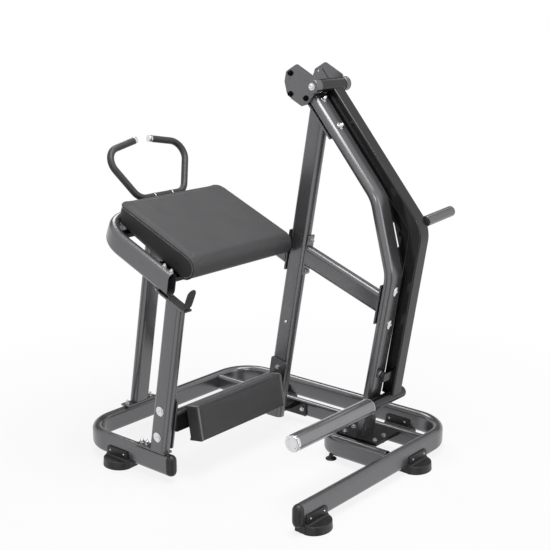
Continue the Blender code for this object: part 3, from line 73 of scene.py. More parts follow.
# %% The camera
camera_data = bpy.data.cameras.new("studio_camera")
camera_data.sensor_width = 36
camera_data.lens = 71.15
camera_data.dof.use_dof = False
camera = bpy.data.objects.new("studio_camera", camera_data)
camera.location = MIDDLE + Vector((3.109, -3.639, 2.060))
camera.rotation_euler = (math.radians(75.526), 0, math.radians(40.09))
bpy.context.scene.collection.objects.link(camera)
bpy.context.scene.camera = camera
bpy.context.scene.view_settings.view_transform = "Standard"
print("camera", [round(v, 3) for v in camera.location])


# %% Colours and nodes
def linear(code):
    """Turn an sRGB hex colour into the linear values that a shader takes."""
    values = [int(code[i:i + 2], 16) / 255 for i in (1, 3, 5)]
    return [v / 12.92 if v <= 0.04045 else ((v + 0.055) / 1.055) ** 2.4 for v in values] + [1.0]


def add_node(tree, kind, inputs=None, **settings):
    """Add one node, set its settings, and fill or link its inputs."""
    node = tree.nodes.new(kind)
    for name, value in settings.items():
        setattr(node, name, value)
    for socket, value in (inputs or {}).items():
        if isinstance(value, bpy.types.NodeSocket):
            tree.links.new(value, node.inputs[socket])
        else:
            node.inputs[socket].default_value = value
    return node
def maths(tree, operation, *values):
    """What one Math node makes of its values."""
    return add_node(tree, "ShaderNodeMath", dict(enumerate(values)), operation=operation).outputs[0]


def vectors(tree, operation, *values):
    """What one Vector Math node makes of its values: a number for a length or a dot product."""
    outputs = add_node(tree, "ShaderNodeVectorMath", dict(enumerate(values)), operation=operation).outputs
    return outputs["Value"] if operation in ("LENGTH", "DOT_PRODUCT") else outputs["Vector"]


def spread(tree, value, low, high, to_low, to_high, **settings):
    """Carry a value from one range to another and hold it at the ends."""
    inputs = {"Value": value, "From Min": low, "From Max": high, "To Min": to_low, "To Max": to_high}
    return add_node(tree, "ShaderNodeMapRange", inputs, **settings).outputs[0]


WHITE = linear("#ffffff")
SMOOTH = {"interpolation_type": "SMOOTHSTEP"}

# %% Soft panels round the machine
PANELS = (("top_panel", (0.8, -0.3, 4.2), 0.6, (2.4, 2.4), 125),
          ("right_panel", (4.4, 0.4, 2.4), 0.7, (1.8, 2.6), 22),
          ("front_strip", (3.3, -3.9, 3.4), 1.0, (1.0, 0.18), 26),
          ("rear_left_panel", (-2.8, 1.3, 3.8), 0.9, (1.4, 1.8), 45),
          ("rear_panel", (-0.4, 3.6, 3.6), 0.7, (1.3, 1.0), 5))
for name, place, aim_height, size, watts in PANELS:
    data = bpy.data.lights.new(name, "AREA")
    data.shape = "RECTANGLE"
    data.size, data.size_y = size
    data.energy = watts
    panel = bpy.data.objects.new(name, data)
    panel.location = place
    panel.rotation_euler = (Z * aim_height - Vector(place)).to_track_quat("-Z", "Y").to_euler()
    bpy.context.scene.collection.objects.link(panel)

# %% Dark strips that upright tubes mirror
# Each strip has its azimuth, the degrees within which it is full and past which it is none, and its depth.
STRIPS = ((-112, 3, 12, 0.85), (-22, 8, 20, 0.80))


def dark_strip(tree, seen_along, azimuth, inner, outer, depth):
    """How dark a mirrored direction is: a band of azimuths, in degrees, fades in from outer to inner."""
    flat = vectors(tree, "NORMALIZE", vectors(tree, "MULTIPLY", seen_along, (1.0, 1.0, 0.0)))
    middle = math.radians(azimuth)
    near = vectors(tree, "DOT_PRODUCT", flat, (math.cos(middle), math.sin(middle), 0.0))
    return spread(tree, near, math.cos(math.radians(outer)), math.cos(math.radians(inner)), 0.0, depth,
                  **SMOOTH)


# %% White world, dimmer for the light that it casts
world = bpy.data.worlds.new("white_studio")
bpy.context.scene.world = world
world.use_nodes = True
sky = world.node_tree
sky.nodes.clear()
ray = add_node(sky, "ShaderNodeLightPath").outputs
seen = maths(sky, "MAXIMUM", ray["Is Camera Ray"], ray["Is Glossy Ray"])
seen = maths(sky, "MAXIMUM", seen, ray["Is Transmission Ray"])
outward = add_node(sky, "ShaderNodeTexCoord").outputs["Generated"]
height = add_node(sky, "ShaderNodeSeparateXYZ", {0: outward}).outputs["Z"]
ceiling = spread(sky, height, 0.16, 0.34, 0.0, 0.88, **SMOOTH)
behind = vectors(sky, "DOT_PRODUCT", outward, (-0.64, 0.77, 0.0))
behind = spread(sky, behind, 0.35, 0.75, 0.06, 1.0, **SMOOTH)
mirrored = maths(sky, "MULTIPLY", maths(sky, "MULTIPLY", ceiling, behind), ray["Is Glossy Ray"])
bright = maths(sky, "SUBTRACT", 1.0, mirrored)
cast = add_node(sky, "ShaderNodeBackground", {"Color": WHITE, "Strength": 0.15})
plain = add_node(sky, "ShaderNodeBackground", {"Color": WHITE, "Strength": bright})
both = add_node(sky, "ShaderNodeMixShader", {0: seen, 1: cast.outputs[0], 2: plain.outputs[0]})
add_node(sky, "ShaderNodeOutputWorld", {"Surface": both.outputs[0]})


# %% [markdown]
# ## The floor
# The machine stands on a seamless pale floor. Near the machine the floor takes a soft shadow.
# Further out it fades to plain white, so that no horizon shows, and the fade is tied to the
# floor itself and not to the camera.

# %% Pale floor
def matt_floor():
    made = bpy.data.materials.new("matt_white_floor")
    made.use_nodes = True
    tree = made.node_tree
    tree.nodes.clear()
    where = add_node(tree, "ShaderNodeTexCoord").outputs["Object"]
    fade = spread(tree, vectors(tree, "LENGTH", where), 0.9, 2.6, 0.85, 1.0, **SMOOTH)
    ray = add_node(tree, "ShaderNodeLightPath").outputs
    back = add_node(tree, "ShaderNodeNewGeometry").outputs["Incoming"]
    along_ray = vectors(tree, "MULTIPLY", back, (-1.0, -1.0, -1.0))
    dark = maths(tree, "MAXIMUM", *[dark_strip(tree, along_ray, *strip) for strip in STRIPS])
    dark = maths(tree, "MULTIPLY", dark, ray["Is Glossy Ray"])
    seen = maths(tree, "MAXIMUM", ray["Is Camera Ray"], ray["Is Glossy Ray"])
    matt = add_node(tree, "ShaderNodeBsdfDiffuse", {"Color": linear("#f6f6f6")})
    lit = maths(tree, "SUBTRACT", 1.0, dark)
    bright = add_node(tree, "ShaderNodeEmission", {"Color": WHITE, "Strength": lit})
    mixed = add_node(tree, "ShaderNodeMixShader",
                     {0: maths(tree, "MULTIPLY", fade, seen), 1: matt.outputs[0], 2: bright.outputs[0]})
    add_node(tree, "ShaderNodeOutputMaterial", {"Surface": mixed.outputs[0]})
    return made


floor_mesh = bmesh.new()
bmesh.ops.create_circle(floor_mesh, cap_ends=True, segments=64, radius=60)
floor_data = bpy.data.meshes.new("pale_floor")
floor_mesh.to_mesh(floor_data)
floor_mesh.free()
floor_data.materials.append(matt_floor())
floor = bpy.data.objects.new("pale_floor", floor_data)
floor.location.z = -0.0005
bpy.context.scene.collection.objects.link(floor)


# %% [markdown]
# ## Finishes
# Each finish starts from what the real surface is. Powder coat is a paint that is sprayed as
# dust and baked: it flows into a skin with a faint orange peel and here holds metal flakes.
# Patterns use Object coordinates, so they stay on the piece, and each scale is one divided by
# a real size in metres.

# %% Start of a finish
def start_finish(name, colour, metallic, roughness, **extra):
    """New Principled material with its uniform values set on its own sockets."""
    made = bpy.data.materials.new(name)
    made.use_nodes = True
    shader = made.node_tree.nodes["Principled BSDF"]
    shader.inputs["Base Color"].default_value = linear(colour)
    shader.inputs["Metallic"].default_value = metallic
    shader.inputs["Roughness"].default_value = roughness
    for socket, value in extra.items():
        shader.inputs[socket.replace("_", " ")].default_value = value
    where = add_node(made.node_tree, "ShaderNodeTexCoord")
    return made, made.node_tree, shader, where.outputs["Object"]


def shade(tree, factor, shader, dark, light, low=0.3, high=0.7):
    """Let a pattern run the base colour between two near tones."""
    ramp = add_node(tree, "ShaderNodeValToRGB", {"Fac": factor})
    ramp.color_ramp.elements[0].position, ramp.color_ramp.elements[1].position = low, high
    ramp.color_ramp.elements[0].color, ramp.color_ramp.elements[1].color = linear(dark), linear(light)
    tree.links.new(ramp.outputs["Color"], shader.inputs["Base Color"])


def noise(tree, where, size, detail, **inputs):
    """Cloudy pattern whose largest parts have a size in metres."""
    inputs = {"Vector": where, "Scale": 1 / size, "Detail": detail, **inputs}
    return add_node(tree, "ShaderNodeTexNoise", inputs).outputs["Fac"]


def cells(tree, where, size, output="Distance", **settings):
    """Pattern of cells about as wide as a size in metres."""
    inputs = {"Vector": where, "Scale": 1 / size}
    return add_node(tree, "ShaderNodeTexVoronoi", inputs, **settings).outputs[output]


def uneven_gloss(tree, where, shader, size, low, high):
    """Roughness that drifts between two values over a size in metres."""
    drift = spread(tree, noise(tree, where, size, 3.0), 0.3, 0.7, low, high)
    tree.links.new(drift, shader.inputs["Roughness"])


def relief(tree, height, shader, depth, strength, before=None):
    """Bump of a depth in metres, on top of another bump if one is given."""
    inputs = {"Height": height, "Strength": strength, "Distance": depth}
    if before:
        inputs["Normal"] = before.outputs["Normal"]
    bump = add_node(tree, "ShaderNodeBump", inputs)
    tree.links.new(bump.outputs["Normal"], shader.inputs["Normal"])
    return bump


# %% Metallic grey powder coat
def metallic_powder_coat(name, colour, dark, light):
    """Baked polyester powder with aluminium flakes: semi gloss grey, fine sparkle, faint orange peel."""
    made, tree, shader, where = start_finish(name, colour, 0.75, 0.24)
    flakes = cells(tree, where, 0.0014, "Color")
    grain = add_node(tree, "ShaderNodeSeparateColor", {"Color": flakes}).outputs[0]
    tone = maths(tree, "MULTIPLY", grain, 0.55)
    tone = maths(tree, "MULTIPLY_ADD", noise(tree, where, 0.18, 4.0), 0.45, tone)
    shade(tree, tone, shader, dark, light, 0.1, 0.9)
    uneven_gloss(tree, where, shader, 0.08, 0.23, 0.26)
    relief(tree, noise(tree, where, 0.006, 1.0), shader, 0.000005, 0.5)
    return made


# %% Satin black powder coat
def satin_powder_coat():
    """The same powder without flakes, in black: a soft sheen, with dust and scuffs a shade lighter."""
    made, tree, shader, where = start_finish("satin_black_powder_coat", "#111112", 0.0, 0.20,
                                             Specular_IOR_Level=0.5)
    shade(tree, noise(tree, where, 0.09, 6.0), shader, "#101011", "#181819")
    uneven_gloss(tree, where, shader, 0.06, 0.18, 0.23)
    relief(tree, noise(tree, where, 0.006, 1.0), shader, 0.00002, 0.5)
    return made


# %% Moulded black polypropylene
def moulded_plastic():
    """Injection moulded polypropylene with a spark eroded grain, drawn at 1 mm so that it shows."""
    made, tree, shader, where = start_finish("moulded_black_polypropylene", "#1d1d1e", 0.0, 0.42)
    shade(tree, noise(tree, where, 0.03, 4.0), shader, "#1a1a1b", "#232324")
    uneven_gloss(tree, where, shader, 0.02, 0.36, 0.48)
    relief(tree, cells(tree, where, 0.001), shader, 0.00008, 0.5)
    return made


# %% Grained upholstery vinyl
def grained_vinyl():
    """PVC cloth pressed with a leather grain: small cells with soft valleys, about 2 mm across."""
    made, tree, shader, where = start_finish("grained_upholstery_vinyl", "#474748", 0.0, 0.50,
                                             Specular_IOR_Level=0.25, Sheen_Weight=0.05, Sheen_Roughness=0.5)
    shade(tree, noise(tree, where, 0.11, 5.0), shader, "#454547", "#49494a")
    uneven_gloss(tree, where, shader, 0.03, 0.46, 0.54)
    to_edge = cells(tree, where, 0.0022, feature="DISTANCE_TO_EDGE")
    valleys = relief(tree, spread(tree, to_edge, 0.0, 0.18, 0.0, 1.0), shader, 0.00018, 0.55)
    relief(tree, noise(tree, where, 0.0009, 2.0), shader, 0.00006, 0.4, valleys)
    return made


# %% Chrome, zinc, steel and black oxide
def bare_metal(name, colour, rough_low, rough_high, grain, depth):
    """Plated or ground metal: a drift in its gloss, and fine lines or crystals in its skin."""
    made, tree, shader, where = start_finish(name, colour, 1.0, rough_low)
    uneven_gloss(tree, where, shader, 0.012, rough_low, rough_high)
    relief(tree, noise(tree, where, grain, 3.0), shader, depth, 0.4)
    return made


# %% Rubber, thread, plywood
def grip_rubber(name, colour, dark, light):
    """Vulcanised rubber: matt, with a dusty bloom and a skin of fine pits."""
    made, tree, shader, where = start_finish(name, colour, 0.0, 0.62)
    shade(tree, noise(tree, where, 0.025, 6.0), shader, dark, light)
    uneven_gloss(tree, where, shader, 0.015, 0.42, 0.52)
    relief(tree, noise(tree, where, 0.0015, 2.0), shader, 0.00002, 0.5)
    return made


def birch_plywood():
    """Birch board stained black against damp: the grain shows as brown lines that follow its length."""
    made, tree, shader, where = start_finish("black_stained_birch_plywood", "#231f1b", 0.0, 0.6)
    drawn_out = add_node(tree, "ShaderNodeMapping", {"Vector": where, "Scale": (1.0, 0.08, 1.0)}).outputs[0]
    rings = noise(tree, drawn_out, 0.006, 5.0, Distortion=0.6)
    shade(tree, rings, shader, "#1d1a17", "#2f2a24")
    relief(tree, rings, shader, 0.0001, 0.4)
    return made


def polyester_thread():
    """Bonded polyester sewing thread: pale, twisted, so it is streaked along its length."""
    made, tree, shader, where = start_finish("bonded_polyester_thread", "#e4e4e2", 0.0, 0.6, Sheen_Weight=0.4)
    twist = noise(tree, where, 0.0008, 1.0)
    shade(tree, twist, shader, "#d4d4d2", "#f0f0ee")
    relief(tree, twist, shader, 0.0001, 0.6)
    return made


FRAME_COAT = metallic_powder_coat("metallic_grey_powder_coat", "#727274", "#6d6d6f", "#777779")
ROLLER_COAT = metallic_powder_coat("bright_metallic_powder_coat", "#8e8e90", "#88888a", "#949496")
BLACK_COAT = satin_powder_coat()
PLASTIC = moulded_plastic()
VINYL = grained_vinyl()
CHROME = bare_metal("polished_chrome_plate", "#dcdcde", 0.06, 0.14, 0.0030, 0.00002)
ZINC = bare_metal("bright_zinc_plated_steel", "#c6c8cb", 0.20, 0.34, 0.0008, 0.00003)
STEEL = bare_metal("ground_bearing_steel", "#a9aaac", 0.24, 0.36, 0.0006, 0.00003)
OXIDE = bare_metal("black_oxide_steel", "#1b1b1c", 0.34, 0.48, 0.0009, 0.00004)
GRIP = grip_rubber("extruded_grip_rubber", "#2c2c2d", "#29292a", "#303031")
BUFFER = grip_rubber("natural_rubber_buffer", "#1b1b1b", "#171717", "#242424")
PLYWOOD = birch_plywood()
THREAD = polyester_thread()
print("finishes", len(bpy.data.materials))


# %% [markdown]
# ## Making a piece
# Every piece ends the same way: its doubles are merged, its faces point outwards, and it is
# set to ride on the body that carries it. Its finish becomes its one material. The mesh holds
# the place, and the object stays at the origin. Weighted normals keep flat faces flat beside
# their rounded edges.

# %% Close, dress and place a piece
def make_piece(name, bm, finish, body, instead_of=None, sharp=38, wall=None):
    bmesh.ops.remove_doubles(bm, verts=bm.verts, dist=1e-6)
    bmesh.ops.recalc_face_normals(bm, faces=bm.faces)
    mesh = bpy.data.meshes.new(name)
    bm.to_mesh(mesh)
    bm.free()
    mesh.shade_smooth()
    mesh.set_sharp_from_angle(angle=math.radians(sharp))
    mesh.materials.append(finish)
    piece = bpy.data.objects.new(name, mesh)
    bpy.context.scene.collection.objects.link(piece)
    if wall:
        shell = piece.modifiers.new("tube_wall", "SOLIDIFY")
        shell.thickness = wall
        shell.offset = -1
        shell.use_even_offset = True
    flat = piece.modifiers.new("flat_faces", "WEIGHTED_NORMAL")
    flat.keep_sharp = True
    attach(piece, body)
    if instead_of:
        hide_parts(instead_of)


# %% [markdown]
# ## Bent tubes
# A tube bender pulls a straight tube round a former, so each bend is an arc and the section
# stays the same. A ring of edges can be carried the same way: pushed along each straight leg
# and spun about the former's axis in each bend. This gives even facets and true tangents,
# which a curve with a bevel would not give on a flat oval section.

# %% Rings
def oval_ring(bm, long_side, short_side):
    """Flat oval outline: a circle whose two halves are moved apart along X."""
    bmesh.ops.create_circle(bm, segments=40, radius=short_side / 2)
    shift = (long_side - short_side) / 2
    for side in (-1, 1):
        half = [v for v in bm.verts if v.co.x * side > 1e-5]
        bmesh.ops.translate(bm, vec=(side * shift, 0, 0), verts=half)


def square_ring(bm, size_x, size_y, corner):
    """Rectangle with round corners, made from one face whose corners are bevelled."""
    bmesh.ops.create_grid(bm, x_segments=1, y_segments=1, size=0.5)
    bmesh.ops.scale(bm, vec=(size_x, size_y, 1), verts=bm.verts)
    bmesh.ops.bevel(bm, geom=bm.verts[:], offset=corner, segments=4, profile=0.5,
                    affect="VERTICES", material=-1)
    bmesh.ops.delete(bm, geom=bm.faces[:], context="FACES_ONLY")


# %% Carry a ring along legs and bends
def verts_of(made):
    """The points among what an operator gives back."""
    return [g for g in made["geom"] if isinstance(g, bmesh.types.BMVert)]


def push(bm, ring, shift):
    """Extrude a ring of edges by a vector and return the new ring."""
    made = bmesh.ops.extrude_edge_only(bm, edges=ring)
    moved = set(verts_of(made))
    bmesh.ops.translate(bm, vec=shift, verts=list(moved))
    return [g for g in made["geom"] if isinstance(g, bmesh.types.BMEdge) and set(g.verts) <= moved]


def carry(bm, corners, long_side, bend_radius, step=math.radians(6)):
    """Set the bmesh's ring at the first corner and sweep it through the others."""
    points = [Vector(c) for c in corners]
    heading = (points[1] - points[0]).normalized()
    across = Vector(long_side) - heading * heading.dot(Vector(long_side))
    across.normalize()
    turned_to = Matrix((across, heading.cross(across), heading)).transposed().to_4x4()
    bmesh.ops.transform(bm, matrix=Matrix.Translation(points[0]) @ turned_to, verts=bm.verts)
    ring = bm.edges[:]
    here = points[0]
    for corner, after in zip(points[1:], points[2:]):
        leaving = (after - corner).normalized()
        turn = heading.angle(leaving)
        setback = bend_radius * math.tan(turn / 2)
        start = corner - heading * setback
        ring = push(bm, ring, start - here)
        axis = heading.cross(leaving).normalized()
        centre = start + axis.cross(heading) * bend_radius
        ends = list({v for e in ring for v in e.verts})
        made = bmesh.ops.spin(bm, geom=ends + ring, cent=centre, axis=axis, angle=turn,
                              steps=max(3, round(turn / step)), use_duplicate=False)["geom_last"]
        ring = [g for g in made if isinstance(g, bmesh.types.BMEdge)]
        here = corner + leaving * setback
        heading = leaving
    push(bm, ring, points[-1] - here)


def trim(bm, place, facing, outer=True, inner=False):
    """Cut through a plane, and clear what lies on its outer side, that it faces, or on its inner side."""
    bmesh.ops.bisect_plane(bm, geom=bm.verts[:] + bm.edges[:] + bm.faces[:], plane_co=place,
                           plane_no=facing, clear_outer=outer, clear_inner=inner)


def cap_ends(bm, ends, reach):
    """Fill the open rings that lie within reach of the end points."""
    rings = [[e for e in bm.edges if e.is_boundary and (e.verts[0].co - end).length < reach] for end in ends]
    for ring in rings:
        bmesh.ops.edgeloop_fill(bm, edges=ring)


# %% Directions of the leaning parts
LEAN, PAD_SLOPE, TOP_SLOPE, BEAM_SLOPE = [math.radians(a) for a in (9.9, 23.0, 50.0, 20.0)]


def along(angle):
    return Vector((math.cos(angle), 0, -math.sin(angle)))


def above(angle):
    return Vector((math.sin(angle), 0, math.cos(angle)))


def at(x, y, z):
    """A place measured from the middle of the base."""
    return MIDDLE + Vector((x, y, z))


def meet(point_a, direction_a, point_b, direction_b):
    """Where two lines in the XZ plane cross, at the first line's Y."""
    det = direction_a.x * -direction_b.z + direction_b.x * direction_a.z
    gap = point_b - point_a
    return point_a + direction_a * ((gap.x * -direction_b.z + direction_b.x * gap.z) / det)


UP_LEAN, OUT_LEAN = above(LEAN), along(LEAN)
PAD_ALONG, PAD_ABOVE = along(PAD_SLOPE), above(PAD_SLOPE)
TOP_ALONG, TOP_ABOVE = along(TOP_SLOPE), above(TOP_SLOPE)
POST_Y, RAIL_Y, FAR_Y = 0.200, 0.352, -0.211
PIVOT = at(0.151, 0, 1.671)


def lean_x(foot_x, z):
    """X of a leaning centre line at a height, from its X on the floor."""
    return foot_x + z * math.tan(LEAN)


# %% Base tubes
def tube(name, instead_of, corners, long_side, bend=0.0, cuts=(), size=(FLAT_LONG, FLAT_SHORT)):
    """Bend a flat oval tube and mitre its ends."""
    bm = bmesh.new()
    oval_ring(bm, *size)
    carry(bm, corners, long_side, bend)
    for place, facing in cuts:
        trim(bm, place, facing)
    make_piece(name, bm, FRAME_COAT, "frame", instead_of, sharp=50, wall=TUBE_WALL)


BASE_BEND, LEFT_END_X, RIGHT_END_Y, SPLIT_X = 0.170, -0.075, -0.574, -0.020
RAIL_LONG, RAIL_SHORT, LOOP_X, LOOP_Y, LOOP_BEND = 0.080, 0.040, 0.262, 0.073, 0.1
rail_end = BASE_X - HALF_SHORT - GAP
tube("base_left_tube", "base_left_rail",
     [at(LEFT_END_X, -BASE_Y, BASE_Z), at(-BASE_X, -BASE_Y, BASE_Z), at(-BASE_X, BASE_Y, BASE_Z),
      at(SPLIT_X, BASE_Y, BASE_Z)], Z, BASE_BEND)
tube("base_right_tube", "base_right_rail",
     [at(SPLIT_X + GAP, BASE_Y, BASE_Z), at(BASE_X, BASE_Y, BASE_Z), at(BASE_X, RIGHT_END_Y, BASE_Z)], Z,
     BASE_BEND)
tube("base_inner_tube", "inner_rail", [at(-rail_end, RAIL_Y, BASE_Z), at(rail_end, RAIL_Y, BASE_Z)], Z,
     size=(RAIL_LONG, RAIL_SHORT))
tube("base_loop_tube", "loop_rail",
     [at(LOOP_X, RAIL_Y - RAIL_SHORT / 2 - GAP, BASE_Z), at(LOOP_X, LOOP_Y, BASE_Z),
      at(rail_end, LOOP_Y, BASE_Z)], Z, LOOP_BEND)

# %% Columns, pad frame and posts
PAD_ROOT = at(0, 0, 0.870)
PAD_END, PAD_BEND_X, PAD_BEND = 0.066, -0.488, 0.165
NEAR_X, TALL_X, REAR_X = -0.1565, -0.1335, 0.4009
TALL_FOOT_Z, SEAT_Z, REAR_BEND_Z, HEAD_DROP, HEAD_END = 0.056, 0.100, 0.8755, 0.056, 0.050
PAST_CUT = 0.08


def on_pad_frame(x, y, rise=0.0):
    """A place on the pad frame's centre plane, moved square to it."""
    return PAD_ROOT + Vector((x, y, -x * math.tan(PAD_SLOPE))) + PAD_ABOVE * rise


column_foot = BASE_TOP + SEATED
far_x = -BASE_X + SEATED * math.tan(LEAN)
for name, foot_x, y, wide in (("near_column", lean_x(NEAR_X, column_foot), -BASE_Y, X),
                              ("far_column", far_x, FAR_Y, Y)):
    foot = at(foot_x, y, column_foot)
    roof = meet(foot, UP_LEAN, on_pad_frame(0, y, -HALF_LONG - SEATED), PAD_ALONG)
    tube(name + "_tube", name, [foot - UP_LEAN * PAST_CUT, roof + UP_LEAN * PAST_CUT], wide,
         cuts=((foot, -Z), (roof, PAD_ABOVE)))
post_face = at(TALL_X, 0, 0) - OUT_LEAN * (HALF_LONG + SEATED)
frame_end = meet(on_pad_frame(0, POST_Y), PAD_ALONG, post_face, UP_LEAN)
tube("pad_frame_bent_tube", "pad_frame_tube",
     [on_pad_frame(PAD_END, -BASE_Y), on_pad_frame(PAD_BEND_X, -BASE_Y), on_pad_frame(PAD_BEND_X, POST_Y),
      frame_end + PAD_ALONG * PAST_CUT], PAD_ABOVE, PAD_BEND, ((post_face, OUT_LEAN),))
tall_foot = at(lean_x(TALL_X, TALL_FOOT_Z), POST_Y, TALL_FOOT_Z)
under_head = PIVOT - TOP_ABOVE * (HEAD_DROP + HALF_SHORT + SEATED)
tall_top = meet(tall_foot, UP_LEAN, under_head, TOP_ALONG)
tube("tall_post_tube", "tall_post", [tall_foot - UP_LEAN * PAST_CUT, tall_top + UP_LEAN * PAST_CUT], X,
     cuts=((tall_foot, -Z), (tall_top, TOP_ABOVE)))
rear_foot = at(lean_x(REAR_X, SEAT_Z), POST_Y, SEAT_Z)
rear_low = at(lean_x(REAR_X, REAR_BEND_Z), POST_Y, REAR_BEND_Z)
rear_top = PIVOT - TOP_ABOVE * HEAD_DROP - TOP_ALONG * HEAD_END + Y * POST_Y
rear_high = meet(rear_low, above(math.radians(-14.8)), rear_top, TOP_ALONG)
tube("rear_post_tube", "rear_post", [rear_foot - UP_LEAN * PAST_CUT, rear_low, rear_high, rear_top], Y, 0.160,
     ((rear_foot, -Z),))
beam_root, beam_along = at(0, POST_Y, 0.9195), along(BEAM_SLOPE)
tall_face = at(TALL_X, 0, 0) + OUT_LEAN * (HALF_LONG + SEATED)
rear_face = at(REAR_X, 0, 0) - OUT_LEAN * (HALF_SHORT + SEATED)
beam_front, beam_rear = [meet(beam_root, beam_along, face, UP_LEAN) for face in (tall_face, rear_face)]
tube("beam_tube", "beam", [beam_front - beam_along * PAST_CUT, beam_rear + beam_along * PAST_CUT], Z,
     cuts=((tall_face, -OUT_LEAN), (rear_face, OUT_LEAN)))

# %% [markdown]
# ## Turned parts
# A lathe makes shafts, bosses, sleeves and caps. Here a half profile of radii and heights is
# spun a full turn about its axis. Small chamfers are in the profile, because every turned part
# has them and they give the bright ring that shows an edge.

# %% Spin a profile
def turn(bm, profile, origin=(0, 0, 0), direction=Z, steps=48):
    """Spin (radius, height) pairs about an axis; poles on the axis close when doubles merge."""
    direction = Vector(direction).normalized()
    side = direction.orthogonal().normalized()
    verts = [bm.verts.new(Vector(origin) + side * radius + direction * high) for radius, high in profile]
    edges = [bm.edges.new(pair) for pair in zip(verts, verts[1:])]
    bmesh.ops.spin(bm, geom=verts + edges, cent=Vector(origin), axis=direction, angle=math.tau,
                   steps=steps, use_merge=True, use_duplicate=False)


def ring_profile(inner, outer, length, inward, down=None):
    """Half profile of a ring, or of a disc where inner is 0, with its two outer edges broken."""
    down = down or inward
    points = [(inner, 0), (outer - inward, 0), (outer, down), (outer, length - down),
              (outer - inward, length), (inner, length)]
    return points + points[:1] if inner else points


def turned(name, instead_of, finish, body, profile, origin, direction, steps):
    bm = bmesh.new()
    turn(bm, profile, origin, direction, steps)
    make_piece(name, bm, finish, body, instead_of)


# %% Roller with its chrome ends
ROLLER_Z, CARRIER_R = 0.282, 0.0270
ROLLER_AXIS = at(0.5045, 0, ROLLER_Z)
ROLLER_R, ROLLER_BORE, SPINDLE_R, PLUG_DEEP = 0.0375, 0.0335, 0.0150, 0.022
ROLLER_IN, ROLLER_OUT, CARRIER_END = 0.097, -0.423, 0.364
PLUG_R, RUN_R = ROLLER_BORE - GAP, SPINDLE_R + GAP
turned("roller_tube", "kick_roller", ROLLER_COAT, "roller",
       ring_profile(ROLLER_BORE, ROLLER_R, ROLLER_IN - ROLLER_OUT, 0.0008),
       ROLLER_AXIS + Y * ROLLER_IN, -Y, 64)
turned("roller_chrome_ring", "roller_inner_bush", CHROME, "roller",
       [(RUN_R, -0.003), (ROLLER_R + 0.0004, -0.003), (ROLLER_R + 0.001, -0.0024),
        (ROLLER_R + 0.001, -0.0008), (ROLLER_R + 0.0004, -GAP), (PLUG_R, -GAP), (PLUG_R, PLUG_DEEP),
        (RUN_R, PLUG_DEEP), (RUN_R, -0.003)],
       ROLLER_AXIS + Y * ROLLER_IN, -Y, 64)
turned("roller_chrome_cap", "roller_end_cap", CHROME, "roller",
       [(0, -0.0130), (0.0215, -0.0130), (0.0225, -0.0136), (0.0250, -0.0156), (0.0262, -0.016),
        (0.0338, -0.016), (0.0362, -0.0152), (0.0374, -0.0132), (0.0375, -0.012), (0.0375, -0.0008),
        (0.0370, -GAP), (PLUG_R, -GAP), (PLUG_R, PLUG_DEEP), (0, PLUG_DEEP)],
       ROLLER_AXIS + Y * ROLLER_OUT, Y, 64)
thick = CARRIER_END - ROLLER_IN - 0.004
spindle_end = CARRIER_END - ROLLER_OUT - 0.005
turned("roller_carrier_tube", "roller_carrier", BLACK_COAT, "arm",
       [(0, 0), (0.0225, 0), (0.0250, 0.0006), (0.0264, 0.0020), (CARRIER_R, 0.0045),
        (CARRIER_R, thick - 0.0008), (0.0262, thick), (SPINDLE_R, thick), (SPINDLE_R, spindle_end),
        (0, spindle_end)],
       ROLLER_AXIS + Y * CARRIER_END, -Y, 48)

# %% Weight horn
# The horn's axis lies 9 mm further in and 4 mm lower than the solid's, and its end 8 mm further out.
ARM_Y, ARM_WIDE, ARM_DEEP, ARM_FOOT_X = 0.288, 0.072, 0.064, 0.4505
LOW_LEAN, HORN_TILT = math.radians(9.2), math.radians(4)
arm_top = PIVOT - TOP_ABOVE * 0.021 + Y * ARM_Y
arm_elbow = meet(arm_top, TOP_ALONG, at(ARM_FOOT_X, ARM_Y, 0), above(LOW_LEAN))
turned("weight_horn_tube", "weight_horn", FRAME_COAT, "arm",
       [(0, -0.0025), (0.0225, -0.0025), (0.0240, -0.0010), (0.0240, 0.2015), (0.0234, 0.2042),
        (0.0216, 0.2064), (0.0190, 0.2076), (0.0160, 0.2080), (0, 0.2080)],
       arm_elbow + Vector((0.0047, ARM_WIDE / 2, 0.0322)),
       Vector((0, math.cos(HORN_TILT), math.sin(HORN_TILT))), 56)
print("arm bends at", [round(v, 4) for v in arm_elbow])

# %% Pivot bosses and levelling foot
for name, start, end in (("near", 0.124, 0.162), ("far", 0.3412, 0.3710)):
    turned("pivot_boss_" + name + "_ring", "pivot_boss_" + name, FRAME_COAT, "frame",
           ring_profile(0.0128, 0.0325, end - start, 0.0013), PIVOT + Y * start, Y, 48)
floor_z = -0.011
loop_middle = at(LOOP_X + LOOP_BEND, LOOP_Y + LOOP_BEND, floor_z)
loop_out = Vector((0.37, 0.93, 0)).normalized()
turned("levelling_foot_pad", "levelling_foot", BUFFER, "frame",
       [(0, 0), (0.0225, 0), (0.0252, 0.0012), (0.0260, 0.0035), (0.0250, 0.0056), (0.0215, 0.0085),
        (0.0130, 0.0105), (0.0112, 0.0120), (0.0100, 0.0257), (0, 0.0257)],
       loop_middle - loop_out * 0.108, Z, 40)

